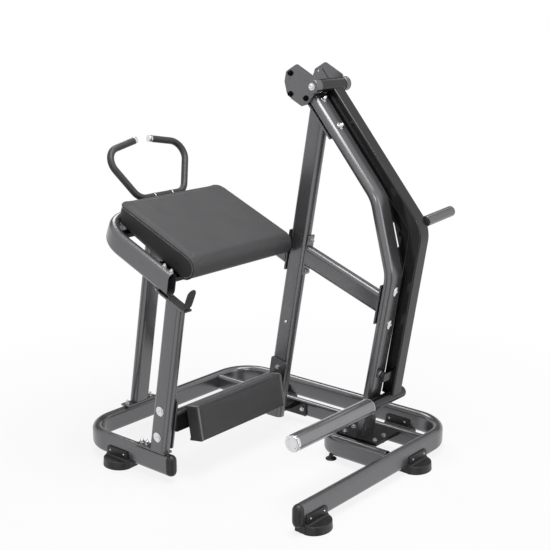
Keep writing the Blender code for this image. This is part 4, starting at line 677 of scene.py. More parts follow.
# %% Stop buffer between arm and post
STOP_Z, STOP_BORE, WASHER = 0.410, 0.0053, 0.004
stop_foot = at(lean_x(REAR_X, STOP_Z), POST_Y, STOP_Z) + OUT_LEAN * HALF_SHORT
print("stop on the rear post at", [round(v, 4) for v in stop_foot - MIDDLE])
turned("stop_rubber", "stop_buffer", BUFFER, "frame",
       [(STOP_BORE, 0), (0.0172, 0), (0.0180, 0.0010), (0.0180, 0.0165), (0.0173, 0.0188), (0.0155, 0.0200),
        (STOP_BORE, 0.0200), (STOP_BORE, 0)], stop_foot + OUT_LEAN * (WASHER + 2 * GAP), OUT_LEAN, 40)
turned("stop_backing_washer", "stop_washer", CHROME, "frame", ring_profile(STOP_BORE, 0.0200, WASHER, 0.0006),
       stop_foot + OUT_LEAN * GAP, OUT_LEAN, 40)

# %% [markdown]
# ## The kick arm
# The arm is a rectangular tube with rounded corners, bent once and coated black. At its top it
# is welded to a sleeve that turns on the pivot. The same carried ring makes the tube, and the
# sleeve is spun into the same mesh.

# %% Kick arm and sleeve
bm = bmesh.new()
square_ring(bm, ARM_DEEP, ARM_WIDE, 0.008)
foot_z = ROLLER_Z + CARRIER_R * 0.7
arm_start = arm_top + TOP_ALONG * 0.016
arm_stop = at(ARM_FOOT_X + foot_z * math.tan(LOW_LEAN), ARM_Y, foot_z)
carry(bm, [arm_start, arm_elbow, arm_stop], TOP_ABOVE, 0.110, math.radians(4))
cap_ends(bm, (arm_start, arm_stop), 0.08)
SLEEVE_NEAR, SLEEVE_FAR = 0.1635, 0.3397
turn(bm, ring_profile(0.024, 0.030, SLEEVE_FAR - SLEEVE_NEAR, 0.0008), PIVOT + Y * SLEEVE_NEAR, Y, 48)
make_piece("kick_arm_tube", bm, BLACK_COAT, "arm", "kick_arm")

# %% [markdown]
# ## Plastic caps and feet
# The open tube ends are closed by domed caps, and the base stands on five moulded saddle feet.
# A foot is a sole under the tube, a cradle rounded to it, a D shaped pad beside it with a sloped
# root, and a flange that two small screws hold to the tube. The D is half a disc, extruded and
# then creased by a cut.

# %% Stand a flat outline in the scene
def stand(origin, heading, across):
    """Matrix that sends Z to a heading and X to the direction across it."""
    heading = Vector(heading).normalized()
    across = (Vector(across) - heading * heading.dot(Vector(across))).normalized()
    turned_to = Matrix((across, heading.cross(across), heading)).transposed().to_4x4()
    return Matrix.Translation(Vector(origin)) @ turned_to


def domed_cap(name, instead_of, start, heading, across, depth, inward):
    bm = bmesh.new()
    oval_ring(bm, FLAT_LONG, FLAT_SHORT)
    ring = bm.edges[:]
    bmesh.ops.edgeloop_fill(bm, edges=ring)
    sizes = [(HALF_LONG, HALF_SHORT, 0.0)]
    for angle in [math.radians(a) for a in (0, 15, 30, 45, 60, 75, 88)]:
        drawn = inward * (1 - math.cos(angle))
        sizes.append((HALF_LONG - drawn, HALF_SHORT - drawn, depth * (0.2 + 0.8 * math.sin(angle))))
    for before, after in zip(sizes, sizes[1:]):
        ring = push(bm, ring, Z * (after[2] - before[2]))
        bmesh.ops.scale(bm, vec=(after[0] / before[0], after[1] / before[1], 1),
                        verts=list({v for e in ring for v in e.verts}))
    bmesh.ops.edgeloop_fill(bm, edges=ring)
    bmesh.ops.transform(bm, matrix=stand(start, heading, across), verts=bm.verts)
    make_piece(name, bm, PLASTIC, "frame", instead_of, 50)


DOME, DRAWN_IN = 0.0300, 0.0215
domed_cap("base_left_end_cap", "base_left_cap", at(LEFT_END_X + GAP, -BASE_Y, BASE_Z), X, Z, DOME, DRAWN_IN)
domed_cap("base_right_end_cap", "base_right_cap", at(BASE_X, RIGHT_END_Y - GAP, BASE_Z), -Y, Z,
          DOME, DRAWN_IN)
domed_cap("pad_frame_end_cap", "pad_frame_cap", on_pad_frame(PAD_END, -BASE_Y) + PAD_ALONG * GAP, PAD_ALONG,
          PAD_ABOVE, 0.0040, 0.006)

# %% The parts of a saddle foot
# At each end the feet are 6.5 mm longer than the solids, and foot_right_near sits 2 mm further along.
FOOT_HALF, FLANGE_HALF, FOOT_OUT, FOOT_TOP, FLANGE_TOP = 0.0755, 0.067, 0.064, 0.025, 0.067
FLANGE, FLANGE_LIFT, CREASE, ROOT_RISE, NEARLY = 0.008, 0.003, 0.017, 0.012, 1e-4
FOOT_FACE = HALF_SHORT + GAP
sole_high = BASE_Z - HALF_LONG - GAP - floor_z


def soften(bm, edges, width, segments=2):
    bmesh.ops.bevel(bm, geom=edges, offset=width, segments=segments, profile=0.5, affect="EDGES", material=-1)


def foot_pad(bm):
    """Half a disc beside the tube, whose root slopes up from a crease."""
    bmesh.ops.create_circle(bm, cap_ends=True, segments=56, radius=1)
    trim(bm, (0, 0, 0), Y, False, True)
    bmesh.ops.scale(bm, vec=(FOOT_HALF, FOOT_OUT, 1), verts=bm.verts)
    top = verts_of(bmesh.ops.extrude_face_region(bm, geom=bm.faces[:]))
    bmesh.ops.translate(bm, vec=(0, 0, FOOT_TOP - floor_z), verts=top)
    bmesh.ops.scale(bm, vec=(0.965, 0.965, 1), verts=top)
    trim(bm, (0, CREASE, 0), Y, False)
    root = [v for v in bm.verts if v.co.y < NEARLY and v.co.z > 0.02]
    bmesh.ops.translate(bm, vec=(0, 0, ROOT_RISE), verts=root)
    rim = [e for e in bm.edges if all(v.co.z > 0.02 for v in e.verts)
           and not all(v.co.y < NEARLY for v in e.verts)
           and not all(abs(v.co.y - CREASE) < NEARLY for v in e.verts)]
    soften(bm, rim, 0.0028, 3)
    bmesh.ops.translate(bm, vec=(0, FOOT_FACE, 0), verts=bm.verts)


def foot_sole(bm):
    """Block under the tube."""
    before = set(bm.verts)
    bmesh.ops.create_cube(bm, size=1)
    sole = [v for v in bm.verts if v not in before]
    bmesh.ops.scale(bm, vec=(2 * FOOT_HALF - 0.003, 2 * HALF_SHORT, sole_high), verts=sole)
    bmesh.ops.translate(bm, vec=(0, 0, sole_high / 2), verts=sole)
    soften(bm, [e for e in bm.edges if e.verts[0] in sole and e.verts[1] in sole], 0.0020)


def foot_cradle(bm):
    """Block under the tube's outer half, hollowed to its round edge."""
    before = set(bm.verts)
    round_z = BASE_Z - HALF_LONG + HALF_SHORT - floor_z
    seed = bmesh.ops.create_vert(bm, co=(0.0010 - FOOT_HALF, 0, round_z - FOOT_FACE))["vert"]
    bmesh.ops.spin(bm, geom=seed, cent=(0, 0, round_z), axis=X, angle=math.pi / 2, steps=8,
                   use_duplicate=False)
    arc = [e for e in bm.edges if e.verts[0] not in before and e.verts[1] not in before]
    for v in verts_of(bmesh.ops.extrude_edge_only(bm, edges=arc)):
        v.co.z = 0.0005
    side = [f for f in bm.faces if all(v not in before for v in f.verts)]
    pushed = verts_of(bmesh.ops.extrude_face_region(bm, geom=side))
    bmesh.ops.translate(bm, vec=(2 * FOOT_HALF - 0.002, 0, 0), verts=pushed)


def foot_flange(bm):
    """Upright plate with two round corners, against the tube's face."""
    before = set(bm.verts)
    tall = FLANGE_TOP - floor_z - FLANGE_LIFT
    bmesh.ops.create_grid(bm, x_segments=1, y_segments=1, size=0.5)
    flat = [v for v in bm.verts if v not in before]
    bmesh.ops.scale(bm, vec=(2 * FLANGE_HALF, tall, 1), verts=flat)
    bmesh.ops.bevel(bm, geom=[v for v in flat if v.co.y > 0], offset=0.011, segments=6, profile=0.5,
                    affect="VERTICES", material=-1)
    plate = [f for f in bm.faces if all(v not in before for v in f.verts)]
    back = verts_of(bmesh.ops.extrude_face_region(bm, geom=plate))
    bmesh.ops.translate(bm, vec=(0, 0, FLANGE), verts=back)
    soften(bm, [e for e in bm.edges if e.verts[0] not in before
                and all(abs(v.co.z - FLANGE) < 1e-5 for v in e.verts)], 0.0016)
    upright = Matrix(((1, 0, 0, 0), (0, 0, 1, FOOT_FACE), (0, 1, 0, tall / 2 + FLANGE_LIFT), (0, 0, 0, 1)))
    bmesh.ops.transform(bm, matrix=upright, verts=[v for v in bm.verts if v not in before])


# %% Five saddle feet
FEET = (("foot_near_left", (-0.383, -BASE_Y), -Y), ("foot_right_near", (BASE_X, -0.499), X),
        ("foot_right_far", (BASE_X, 0.238), X), ("foot_far_right", (0.372, BASE_Y), -Y),
        ("foot_far_left", (-0.372, BASE_Y), -Y))
for name, middle, outward in FEET:
    bm = bmesh.new()
    for make_part in (foot_pad, foot_sole, foot_cradle, foot_flange):
        make_part(bm)
    place = Matrix((Z.cross(outward), outward, Z)).transposed().to_4x4()
    place.translation = at(*middle, floor_z)
    bmesh.ops.transform(bm, matrix=place, verts=bm.verts)
    make_piece(name + "_moulding", bm, PLASTIC, "frame", name, 30)
print("feet", len(FEET))

# %% [markdown]
# ## The ring handle
# One tube is bent into an open ring and covered by a black grip. Two chrome plugs close its
# ends, and two chrome collars mark where the clamp holds it.

# %% Handle, plugs and collars
HANDLE_R, HANDLE_BEND, COLLAR_Y, COLLAR_WIDE = 0.0160, 0.070, 0.0545, 0.0056
HANDLE_END, HANDLE_SIDE, HANDLE_LOW = (0.056, 0.273), (0.264, 0.232), (0.1405, 0.0)
rise = above(math.radians(-27))
handle_middle = at(-0.470, -0.193, 1.166)


def on_handle(sign, spot):
    """A corner of the ring, on its near half for -1 and on its far half for 1."""
    return handle_middle + Y * (sign * spot[0]) + rise * spot[1]


corners = [on_handle(-1, spot) for spot in (HANDLE_END, HANDLE_SIDE, HANDLE_LOW)]
corners += [on_handle(1, spot) for spot in (HANDLE_LOW, HANDLE_SIDE, HANDLE_END)]
bm = bmesh.new()
bmesh.ops.create_circle(bm, segments=32, radius=HANDLE_R)
carry(bm, corners, rise.cross(Y), HANDLE_BEND, math.radians(5))
cap_ends(bm, (corners[0], corners[-1]), 0.03)
make_piece("handle_grip", bm, GRIP, "frame", "handlebar")
for name, sign in (("near", -1), ("far", 1)):
    heading = Y * (sign * (HANDLE_END[0] - HANDLE_SIDE[0])) + rise * (HANDLE_END[1] - HANDLE_SIDE[1])
    heading.normalize()
    turned("handle_plug_" + name, "handlebar_cap_" + name, CHROME, "frame",
           [(0, 0), (0.0166, 0), (0.0170, 0.0004), (0.0170, 0.0022), (0.0160, 0.0030), (0.0160, 0.0038),
            (0.0170, 0.0046), (0.0170, 0.0135), (0.0164, 0.0158), (0.0148, 0.0174), (0.0128, 0.0180),
            (0, 0.0180)],
           on_handle(sign, HANDLE_END) + heading * GAP, heading, 36)
bm = bmesh.new()
for shift in (-COLLAR_Y, COLLAR_Y):
    turn(bm, ring_profile(0.0158, 0.0186, COLLAR_WIDE, 0.0006, 0.0008),
         handle_middle + Y * (shift - COLLAR_WIDE / 2), Y, 36)
make_piece("handle_collars", bm, CHROME, "frame")

# %% [markdown]
# ## Fasteners
# The frame is shipped flat and bolted together, so plated fasteners show at each joint. A hex
# head or nut is a six sided cone with equal ends, and washers, domes and thread ends are spun.
# Each is built at the origin and then stood in its place. A group of like fasteners is one mesh,
# because they are small and share a finish.

# %% Kinds of fastener
def hexagon(bm, across, low, high):
    """Hex prism with a narrow chamfer on all its edges."""
    before = set(bm.verts)
    bmesh.ops.create_cone(bm, cap_ends=True, segments=6, radius1=across / math.sqrt(3),
                          radius2=across / math.sqrt(3), depth=high - low,
                          matrix=Matrix.Translation((0, 0, (low + high) / 2)))
    soften(bm, [e for e in bm.edges if e.verts[0] not in before and e.verts[1] not in before], 0.0007, 1)


def hex_bolt(bm):
    """Washer and hex head, 9 mm high."""
    turn(bm, ring_profile(0, 0.0118, 0.0020, 0.0006, 0.0004), steps=28)
    hexagon(bm, 0.0170, 0.0018, 0.0088)


def nut_with_end(bm, wide=0.0118):
    """Washer, nut with a nylon collar, and the rounded end of the thread."""
    turn(bm, ring_profile(0, wide, 0.0024, 0.0006, 0.0005), steps=28)
    hexagon(bm, 0.0170, 0.0022, 0.0100)
    turn(bm, [(0, 0.0098), (0.0078, 0.0098), (0.0078, 0.0122), (0.0068, 0.0130), (0, 0.0130)], steps=24)
    pitch, thread = 0.000875, [(0, 0.0128)]
    for k in range(4):
        thread += [(0.0050, 0.0130 + k * pitch), (0.0045, 0.0130 + (k + 0.5) * pitch)]
    turn(bm, thread + [(0.0048, 0.0175), (0.0036, 0.0185), (0, 0.0185)], steps=20)


def domed_disc(bm):
    """Broad chrome head with a round socket in its middle."""
    turn(bm, [(0, 0.0026), (0.0046, 0.0026), (0.0046, 0.0052), (0.0056, 0.0058), (0.0100, 0.0056),
              (0.0182, 0.0050), (0.0212, 0.0040), (0.0222, 0.0030), (0.0222, 0), (0, 0)], steps=40)


def socket_head(bm):
    """Cap head screw on a washer, with a socket."""
    turn(bm, [(0, 0), (0.0128, 0), (0.0134, 0.0004), (0.0134, 0.0020), (0.0128, 0.0025), (0, 0.0025)],
         steps=28)
    turn(bm, [(0, 0.0024), (0.0090, 0.0024), (0.0090, 0.0110), (0.0084, 0.0120), (0.0052, 0.0120),
              (0.0052, 0.0075), (0, 0.0075)], steps=28)


def small_screw(bm, size=1.0):
    """Pan head screw, 9.6 mm across at size 1."""
    profile = ((0, 0), (0.0048, 0), (0.0048, 0.0012), (0.0040, 0.0024), (0.0024, 0.0031), (0, 0.0033))
    turn(bm, [(r * size, z * size) for r, z in profile], steps=20)


def end_bolt(bm):
    """Washer and round socket head at an end of the pivot."""
    turn(bm, [(0, 0), (0.0160, 0), (0.0168, 0.0006), (0.0168, 0.0026), (0.0158, 0.0034), (0.0100, 0.0036),
              (0.0098, 0.0090), (0.0088, 0.0100), (0.0060, 0.0100), (0.0060, 0.0050), (0, 0.0050)], steps=36)


def long_bolt(bm):
    """Hex head behind the rear post and the shank that holds the stop."""
    hexagon(bm, 0.0190, -0.0125, -0.0003)
    turn(bm, [(0, -0.0010), (0.0050, -0.0010), (0.0050, 0.070), (0, 0.070)], steps=20)


def group(name, kind, places, finish, *sizes, instead_of=None):
    bm = bmesh.new()
    for place, facing in places:
        before = set(bm.verts)
        kind(bm, *sizes)
        bmesh.ops.transform(bm, matrix=stand(place, facing, Vector(facing).orthogonal()),
                            verts=[v for v in bm.verts if v not in before])
    make_piece(name, bm, finish, "frame", instead_of, sharp=32)
    print(name, len(places))


# %% Bolts of the base
SEAT_HOLES = [(dx, dy) for dx in (-0.088, 0.080) for dy in (-0.035, 0.035)]
SCREW_Z, SCREW_SIDE = 0.050, 0.044
plate_top = BASE_TOP + GAP + PLATE
near_x, rear_x, stub_x = lean_x(NEAR_X, BASE_TOP), lean_x(REAR_X, SEAT_Z), lean_x(TALL_X, 0.075)
rail_face = RAIL_Y - RAIL_SHORT / 2 - GAP - PLATE
group("base_plate_bolts", nut_with_end,
      [(at(near_x - dx, -BASE_Y + 0.006, plate_top), Z) for dx in (0.120, 0.0875)]
      + [(at(-BASE_X, FAR_Y + dy, plate_top), Z) for dy in (-0.076, 0.076)], CHROME)
for name, kind, z, facing in (("rear_seat_bolts", hex_bolt, SEAT_Z - GAP, Z),
                              ("rear_seat_nuts", nut_with_end, SEAT_Z - 2 * PLATE - 3 * GAP, -Z)):
    group(name, kind, [(at(rear_x + dx, POST_Y + dy, z), facing) for dx, dy in SEAT_HOLES], ZINC)
group("stub_bolts", hex_bolt, [(at(stub_x + dx, rail_face, BASE_Z), -Y) for dx in (-0.070, 0.070)], ZINC)
group("foot_screws", small_screw,
      [(at(*middle, SCREW_Z) + Z.cross(outward) * shift + outward * (FOOT_FACE + FLANGE), outward)
       for name, middle, outward in FEET for shift in (-SCREW_SIDE, SCREW_SIDE)], ZINC)

# %% Bolts of the posts and the pad frame
POST_BOLTS = (("pad_frame_flange_bolts", hex_bolt, ZINC, TALL_X, -(HALF_LONG + GAP + PLATE), (0.816, 0.972)),
              ("beam_front_bolts", nut_with_end, ZINC, TALL_X, HALF_LONG + GAP + PLATE, (0.828, 0.977)),
              ("rear_post_bolts", domed_disc, CHROME, REAR_X, HALF_SHORT, (0.652, 0.808)),
              ("beam_rear_bolts", hex_bolt, ZINC, REAR_X, -(HALF_SHORT + GAP + PLATE), (0.652, 0.808)))
for name, kind, finish, foot_x, offset, heights in POST_BOLTS:
    facing = OUT_LEAN * math.copysign(1, offset)
    places = [at(lean_x(foot_x, z), POST_Y, z) + OUT_LEAN * offset for z in heights]
    group(name, kind, [(place, facing) for place in places], finish)


def on_head_tube(along_by, above_by):
    """A place by the slanting top of the rear post, from the pivot along it and square to it."""
    return PIVOT + TOP_ALONG * along_by + TOP_ABOVE * (above_by - HEAD_DROP) + Y * POST_Y


group("head_flange_bolts", nut_with_end,
      [(on_head_tube(u, HALF_SHORT), TOP_ABOVE) for u in (0.0480, 0.1955)], CHROME, 0.0185)
group("head_flange_heads", hex_bolt, [(on_head_tube(0.1955, -HALF_SHORT - GAP - PLATE), -TOP_ABOVE)], ZINC)
group("pad_frame_bolts", nut_with_end,
      [(on_pad_frame(x, -BASE_Y, HALF_LONG - 0.0012), PAD_ABOVE) for x in (-0.099, -0.060)], ZINC)
group("pad_frame_heads", hex_bolt,
      [(on_pad_frame(-0.099, -BASE_Y, -HALF_LONG - GAP - PLATE), -PAD_ABOVE)], ZINC)
group("crossbar_near_bolts", domed_disc,
      [(at(lean_x(NEAR_X, z), -BASE_Y - HALF_SHORT, z), -Y) for z in (0.191, 0.317)], CHROME)
group("crossbar_far_bolts", hex_bolt,
      [(at(lean_x(TALL_X, z), POST_Y - HALF_SHORT - GAP - PLATE, z), -Y) for z in (0.191, 0.322)], ZINC)
group("tall_post_screw", small_screw, [(at(-0.0339, POST_Y - HALF_SHORT, 0.5558), -Y)], CHROME, 1.5)

# %% Bolts of the head
HEAD_SCREWS = ((-0.130, 0.052), (-0.129, -0.039), (-0.042, -0.053))
HEAD_NEAR_Y, HEAD_WIDE = 0.136, 0.2055


def by_pivot(spots, y, facing):
    return [(PIVOT + Vector((dx, y, dz)), facing) for dx, dz in spots]


group("head_plate_screws", socket_head, by_pivot(HEAD_SCREWS, HEAD_NEAR_Y, -Y), OXIDE)
group("head_plate_far_screws", socket_head, by_pivot(HEAD_SCREWS, HEAD_NEAR_Y + HEAD_WIDE + PLATE, Y), OXIDE)
group("head_plate_inner_nut", small_screw, by_pivot(HEAD_SCREWS[:1], HEAD_NEAR_Y + HEAD_WIDE, -Y), CHROME,
      1.6)
group("pivot_end_bolts", end_bolt, [(PIVOT + Y * 0.124, -Y), (PIVOT + Y * 0.371, Y)], CHROME)
group("stop_hex_bolt", long_bolt, [(stop_foot - OUT_LEAN * (FLAT_SHORT + GAP), OUT_LEAN)], ZINC,
      instead_of="stop_bolt")

# %% [markdown]
# ## Solids that stay
# The flat plates, drilled flanges and welded brackets are right as the solid model has them.
# Cut plate has a small broken edge that catches the light, so each of these meshes is welded
# into one skin by a modifier and its sharp edges get a narrow bevel. The meshes stay as they are.

# %% Finishes and broken edges for the solids
STAYING = (
    (FRAME_COAT, "near_column_base_plate far_column_base_plate near_column_top_plate "
                 "far_column_top_plate pad_frame_flange beam_front_flange beam_rear_flange head_bracket "
                 "head_plate_far head_plate_near tall_post_top_flange crossbar"),
    # The rear post's base plate, its seat plate and the cross member under it take the black coat so that
    # this hidden place renders dark; that black is partly painted shade, standing in for the shade that lies
    # there.
    (BLACK_COAT, "rear_post_base_plate rear_seat_plate rear_cross_member tall_post_stub "
                 "upper_pad_strap_front upper_pad_strap_rear handlebar_mount stop_strike_plate "
                 "arm_gusset lower_pad_rail"),
    (STEEL, "pivot_shaft arm_bushing"),
    (PLYWOOD, "upper_pad_board"))
for finish, names in STAYING:
    for name in names.split():
        solid = nodes[name]
        for slot in solid.material_slots:
            slot.material = finish
        skin = solid.modifiers.new("one_skin", "WELD")
        skin.merge_threshold = 0.00002
        edge = solid.modifiers.new("broken_edges", "BEVEL")
        edge.width, edge.segments, edge.limit_method = 0.0009, 2, "ANGLE"
        edge.angle_limit = math.radians(40)
        edge.use_clamp_overlap = True
        solid.modifiers.new("flat_faces", "WEIGHTED_NORMAL").keep_sharp = False
print("solids that stay", sum(len(names.split()) for finish, names in STAYING))

# %% [markdown]
# ## Stuffed pads
# A pad is foam on a board with vinyl pulled over it. Its faces swell a little and its edges stay
# held by the seam. The solid model's shape is thinned, remeshed square to its own faces and blown
# up as cloth with a little pressure. The move is capped, because firm foam hardly gives, and the
# side on the board is pinned. Then the edges are squared up, a groove is pressed along each seam,
# and the stitches are laid on the skin.

# %% Inflate a cushion
def shape_of(piece):
    """A new mesh of the piece as its modifiers leave it."""
    return bpy.data.meshes.new_from_object(piece.evaluated_get(bpy.context.evaluated_depsgraph_get()))


def inflate(piece, cap, held):
    """Blow a closed mesh up as cloth; held gives how far a point may move, from 0 to 1."""
    rest = [v.co.copy() for v in piece.data.vertices]
    pins = piece.vertex_groups.new(name="board_side")
    for v in piece.data.vertices:
        if held(v.co) == 0:
            pins.add([v.index], 1.0, "REPLACE")
    cloth = piece.modifiers.new("stuffing", "CLOTH")
    cloth.settings.use_pressure = True
    cloth.settings.uniform_pressure_force = 4
    cloth.settings.effector_weights.gravity = 0
    cloth.settings.quality = 4
    cloth.settings.vertex_group_mass = "board_side"
    cloth.point_cache.frame_start, cloth.point_cache.frame_end = 1, 20
    scene = bpy.context.scene
    for number in range(1, 21):
        scene.frame_set(number)
    blown = shape_of(piece)
    piece.modifiers.remove(cloth)
    furthest = 0.0
    for v, was in zip(blown.vertices, rest):
        move = v.co - was
        furthest = max(furthest, move.length)
        v.co = was + move * (min(move.length, cap) / max(move.length, 1e-9) * held(was))
    scene.frame_set(1)
    print(piece.name, "blown up by at most", round(furthest, 4), "kept to", cap)
    return blown


def stuffed(name, node, axes, voxel, skin, cap, held, reshape=None):
    """Thin the solid, remesh it in its own axes, inflate it and smooth it once."""
    bm = bmesh.new()
    bm.from_mesh(nodes[node].data)
    bmesh.ops.remove_doubles(bm, verts=bm.verts, dist=2e-5)
    bmesh.ops.recalc_face_normals(bm, faces=bm.faces)
    bm.normal_update()
    for v in bm.verts:
        v.co -= v.normal * skin
    bmesh.ops.transform(bm, matrix=axes.inverted(), verts=bm.verts)
    mesh = bpy.data.meshes.new(name)
    bm.to_mesh(mesh)
    bm.free()
    piece = bpy.data.objects.new(name, mesh)
    bpy.context.scene.collection.objects.link(piece)
    blocks = piece.modifiers.new("voxels", "REMESH")
    blocks.mode, blocks.voxel_size = "VOXEL", voxel
    piece.data = shape_of(piece)
    piece.modifiers.clear()
    if reshape:
        for v in piece.data.vertices:
            v.co = reshape(v.co)
    piece.data = inflate(piece, cap, held)
    finer = piece.modifiers.new("finer", "SUBSURF")
    finer.levels = finer.render_levels = 1
    piece.data = shape_of(piece)
    piece.modifiers.clear()
    piece.vertex_groups.clear()
    return piece


def finish_pad(piece, axes, node):
    piece.data.transform(axes)
    piece.data.materials.clear()
    piece.data.materials.append(VINYL)
    piece.data.shade_smooth()
    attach(piece, "frame")
    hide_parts(node)
    print(piece.name, "faces", len(piece.data.polygons))


# %% Crisp edges and stitches along a seam
def crisp(mesh, depths, radius, reach):
    """Square up an edge that came out too round. Depths gives, for a point, how deep it lies under
    each of the edge's two skins and the way out of each; the edge keeps the given radius."""
    for v in mesh.vertices:
        (first, out_first), (second, out_second) = depths(v.co)
        a, b = reach - first, reach - second
        if a <= 0 or b <= 0 or first < -0.004 or second < -0.004:
            continue
        long = reach / max(a, b)
        if min(a, b) * long > reach - radius:
            flat = reach - radius
            dot = flat * (a + b)
            size = a * a + b * b
            long = (dot + math.sqrt(max(0.0, dot * dot - size * (2 * flat * flat - radius * radius)))) / size
        ease = min(1.0, min(a, b) / (0.4 * reach))
        v.co += (out_first * a + out_second * b) * ((long - 1) * ease)


def crease(mesh, distance, depth, wide):
    """Press a groove where distance, a function of a point, is small."""
    normals = [v.normal.copy() for v in mesh.vertices]
    for v, normal in zip(mesh.vertices, normals):
        far = distance(v.co)
        if far < 3 * wide:
            v.co -= normal * (depth * math.exp(-(far / wide) ** 2))


def stitch_row(bm, tree, rays, long, gap, thick):
    """Lay thread capsules end to end where rays meet the pad's skin."""
    hits = [tree.ray_cast(start, way)[:2] for start, way in rays]
    points = [(place, normal) for place, normal in hits if place]
    travelled = [0.0]
    for (a, _), (b, _) in zip(points, points[1:]):
        travelled.append(travelled[-1] + (b - a).length)

    def spot(distance):
        k = max(i for i, t in enumerate(travelled) if t <= distance)
        k = min(k, len(points) - 2)
        share = (distance - travelled[k]) / max(travelled[k + 1] - travelled[k], 1e-9)
        return points[k][0].lerp(points[k + 1][0], share), points[k][1]

    at_now, count = gap, 0
    while at_now + long < travelled[-1]:
        (first, normal), (last, _) = spot(at_now), spot(at_now + long)
        lift = normal * thick * 0.25
        before = set(bm.verts)
        ends = (last - first).length
        turn(bm, [(0, 0), (thick * 0.35, thick * 0.08), (thick * 0.5, thick * 0.5),
                  (thick * 0.5, ends - thick * 0.5), (thick * 0.35, ends - thick * 0.08), (0, ends)], steps=6)
        fresh = [v for v in bm.verts if v not in before]
        bmesh.ops.transform(bm, matrix=stand(first + lift, last - first, normal), verts=fresh)
        at_now += long + gap
        count += 1
    return count


def sew(name, pad, axes, rows, long, gap, thick):
    """Stitch a pad along rows of rays, in its own axes."""
    tree = BVHTree.FromPolygons([v.co.copy() for v in pad.data.vertices],
                                [tuple(p.vertices) for p in pad.data.polygons])
    bm = bmesh.new()
    total = sum(stitch_row(bm, tree, rays, long, gap, thick) for rays in rows)
    bmesh.ops.transform(bm, matrix=axes, verts=bm.verts)
    make_piece(name, bm, THREAD, "frame", sharp=60)
    print(name, total)


# %% Upper pad
PAD_TOP, PAD_FRONT, PAD_ROLL, PAD_HALF, PAD_Y = 0.1190, -0.515, -0.0594, 0.3225, -0.1795
roll_r = (PAD_TOP - 0.0070) / 2
pad_axes = Matrix((PAD_ALONG, Y, PAD_ABOVE)).transposed().to_4x4()
pad_axes.translation = PAD_ROOT + Y * PAD_Y
CORNER = 0.045


def round_plan(co):
    """Round the two front corners of the pad as seen from above."""
    du, dy = CORNER - (co.x - PAD_FRONT), CORNER - (PAD_HALF - abs(co.y))
    if du > 0 and dy > 0:
        share = max(du, dy) / math.hypot(du, dy)
        share = 1 + (share - 1) * 0.85
        return Vector((PAD_FRONT + CORNER - du * share,
                       math.copysign(PAD_HALF - CORNER + dy * share, co.y), co.z))
    return co


def upper_free(co):
    """Only the upholstered side moves: nothing near the board or over the frame tube."""
    inside = PAD_HALF - abs(co.y)
    return min(1.0, max(0.0, (co.z - 0.045) / 0.02)) * min(1.0, max(0.0, (inside - 0.004) / 0.03))


upper = stuffed("upper_cushion", "upper_pad", pad_axes, 0.0065, 0.0022, 0.0030, upper_free, round_plan)
STITCH_IN, SEAM_IN = 0.0100, 0.0065


def upper_edge(co):
    """Depths under the top or the roll, and inside the outline with its two round corners."""
    out = Vector((max(0.0, co.x - PAD_ROLL), 0, co.z - (PAD_TOP - roll_r)))
    top = (PAD_TOP - co.z, Z) if co.x < PAD_ROLL else (roll_r - out.length, out.normalized())
    a, b = PAD_FRONT + CORNER - co.x, abs(co.y) - (PAD_HALF - CORNER)
    side = Y * math.copysign(1.0, co.y)
    if a > 0 and b > 0:
        far = math.hypot(a, b)
        return top, (CORNER * (0.85 + 0.15 * far / max(a, b)) - far, (side * b - X * a) / far)
    return top, ((CORNER - b, side) if b > 0 else (CORNER - a, -X))


crisp(upper.data, upper_edge, 0.0045, 0.013)


def upper_seam(co):
    """Distance to the seam round each end panel, a little below the edge of the top."""
    below = roll_r - math.hypot(max(0.0, co.x - PAD_ROLL), co.z - (PAD_TOP - roll_r))
    if co.x < PAD_ROLL:
        below = PAD_TOP - co.z
    return abs(below - SEAM_IN) if PAD_HALF - abs(co.y) < 0.012 else 1.0


crease(upper.data, upper_seam, 0.0010, 0.0026)
def upper_rays(side):
    """Rays at an end of the pad, from its front along the top and round the roll."""
    off = Y * side * (PAD_HALF + 0.030)
    start, middle = PAD_FRONT + 0.020, Vector((PAD_ROLL, 0, PAD_TOP - roll_r))
    places = [Vector((start + (PAD_ROLL - start) * k / 60, 0, PAD_TOP - STITCH_IN)) for k in range(60)]
    places += [middle + above(math.radians(170) * k / 30) * (roll_r - STITCH_IN) for k in range(31)]
    return [(place + off, -Y * side) for place in places]


sew("upper_cushion_stitches", upper, pad_axes, [upper_rays(side) for side in (-1, 1)], 0.0056, 0.0034, 0.0019)
finish_pad(upper, pad_axes, "upper_pad")

# %% Lower pad
SHIN_LEAN = math.radians(10)
SHIN_HALF, SHIN_HIGH, SHIN_THICK = 0.2875, 0.158, 0.076
shin_out = Vector((math.cos(SHIN_LEAN), 0, math.sin(SHIN_LEAN)))
shin_up = Vector((-math.sin(SHIN_LEAN), 0, math.cos(SHIN_LEAN)))
shin_axes = Matrix((shin_out, Y, shin_up)).transposed().to_4x4()
shin_axes.translation = at(0.011, -0.1835, 0.2465) - shin_out * SHIN_THICK


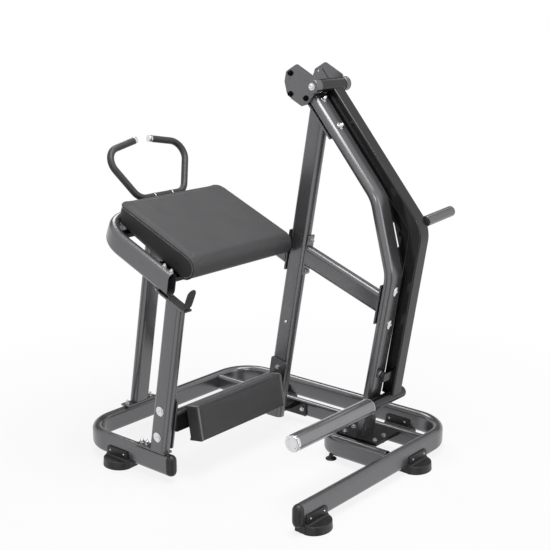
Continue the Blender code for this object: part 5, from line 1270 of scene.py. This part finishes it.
def lower_free(co):
    inside = SHIN_HALF - abs(co.y)
    return min(1.0, max(0.0, (co.x - 0.010) / 0.02)) * min(1.0, max(0.0, (inside - 0.004) / 0.03))


lower = stuffed("lower_cushion", "lower_pad", shin_axes, 0.0042, 0.0010, 0.0015, lower_free)


def end_edge(co):
    """Depths under the end panel and under the nearest of the front, top and bottom skins."""
    skins = [(SHIN_THICK - co.x, X), (SHIN_HIGH / 2 - abs(co.z), Z * math.copysign(1.0, co.z))]
    return min(skins, key=lambda skin: skin[0]), (SHIN_HALF - abs(co.y), Y * math.copysign(1.0, co.y))


def long_edge(co):
    """Depths under the front skin and under the top or the bottom."""
    return (SHIN_THICK - co.x, X), (SHIN_HIGH / 2 - abs(co.z), Z * math.copysign(1.0, co.z))


crisp(lower.data, long_edge, 0.0060, 0.013)
crisp(lower.data, end_edge, 0.0040, 0.013)


def lower_seam(co):
    """Distance to the seam round each end panel, a little in from the end."""
    return abs(SHIN_HALF - abs(co.y) - 0.009) if co.x > 0.010 else 1.0


crease(lower.data, lower_seam, 0.0008, 0.0024)
def lower_rays(y):
    """Rays at the pad in one upright plane, from its top over the front to its bottom."""
    half, step, fall = SHIN_HIGH / 2, (SHIN_THICK - 0.022) / 16, (SHIN_HIGH - 0.020) / 30
    top = [(Vector((0.016 + step * k, y, half + 0.03)), -Z) for k in range(17)]
    front = [(Vector((SHIN_THICK + 0.03, y, half - 0.010 - fall * k)), -X) for k in range(31)]
    bottom = [(Vector((SHIN_THICK - 0.006 - step * k, y, -half - 0.03)), Z) for k in range(17)]
    bends = [[(Vector((SHIN_THICK - 0.009, y, z)) + above(turn_by) * 0.05, -above(turn_by))
              for turn_by in [math.pi / 2 * (quarter + k / 8) for k in range(1, 8)]]
             for quarter, z in ((0, half - 0.009), (1, 0.009 - half))]
    return top + bends[0] + front + bends[1] + bottom


sew("lower_cushion_stitches", lower, shin_axes,
    [lower_rays(side * (SHIN_HALF - inward)) for side in (-1, 1) for inward in (0.0060, 0.0125)],
    0.0056, 0.0036, 0.0017)
finish_pad(lower, shin_axes, "lower_pad")
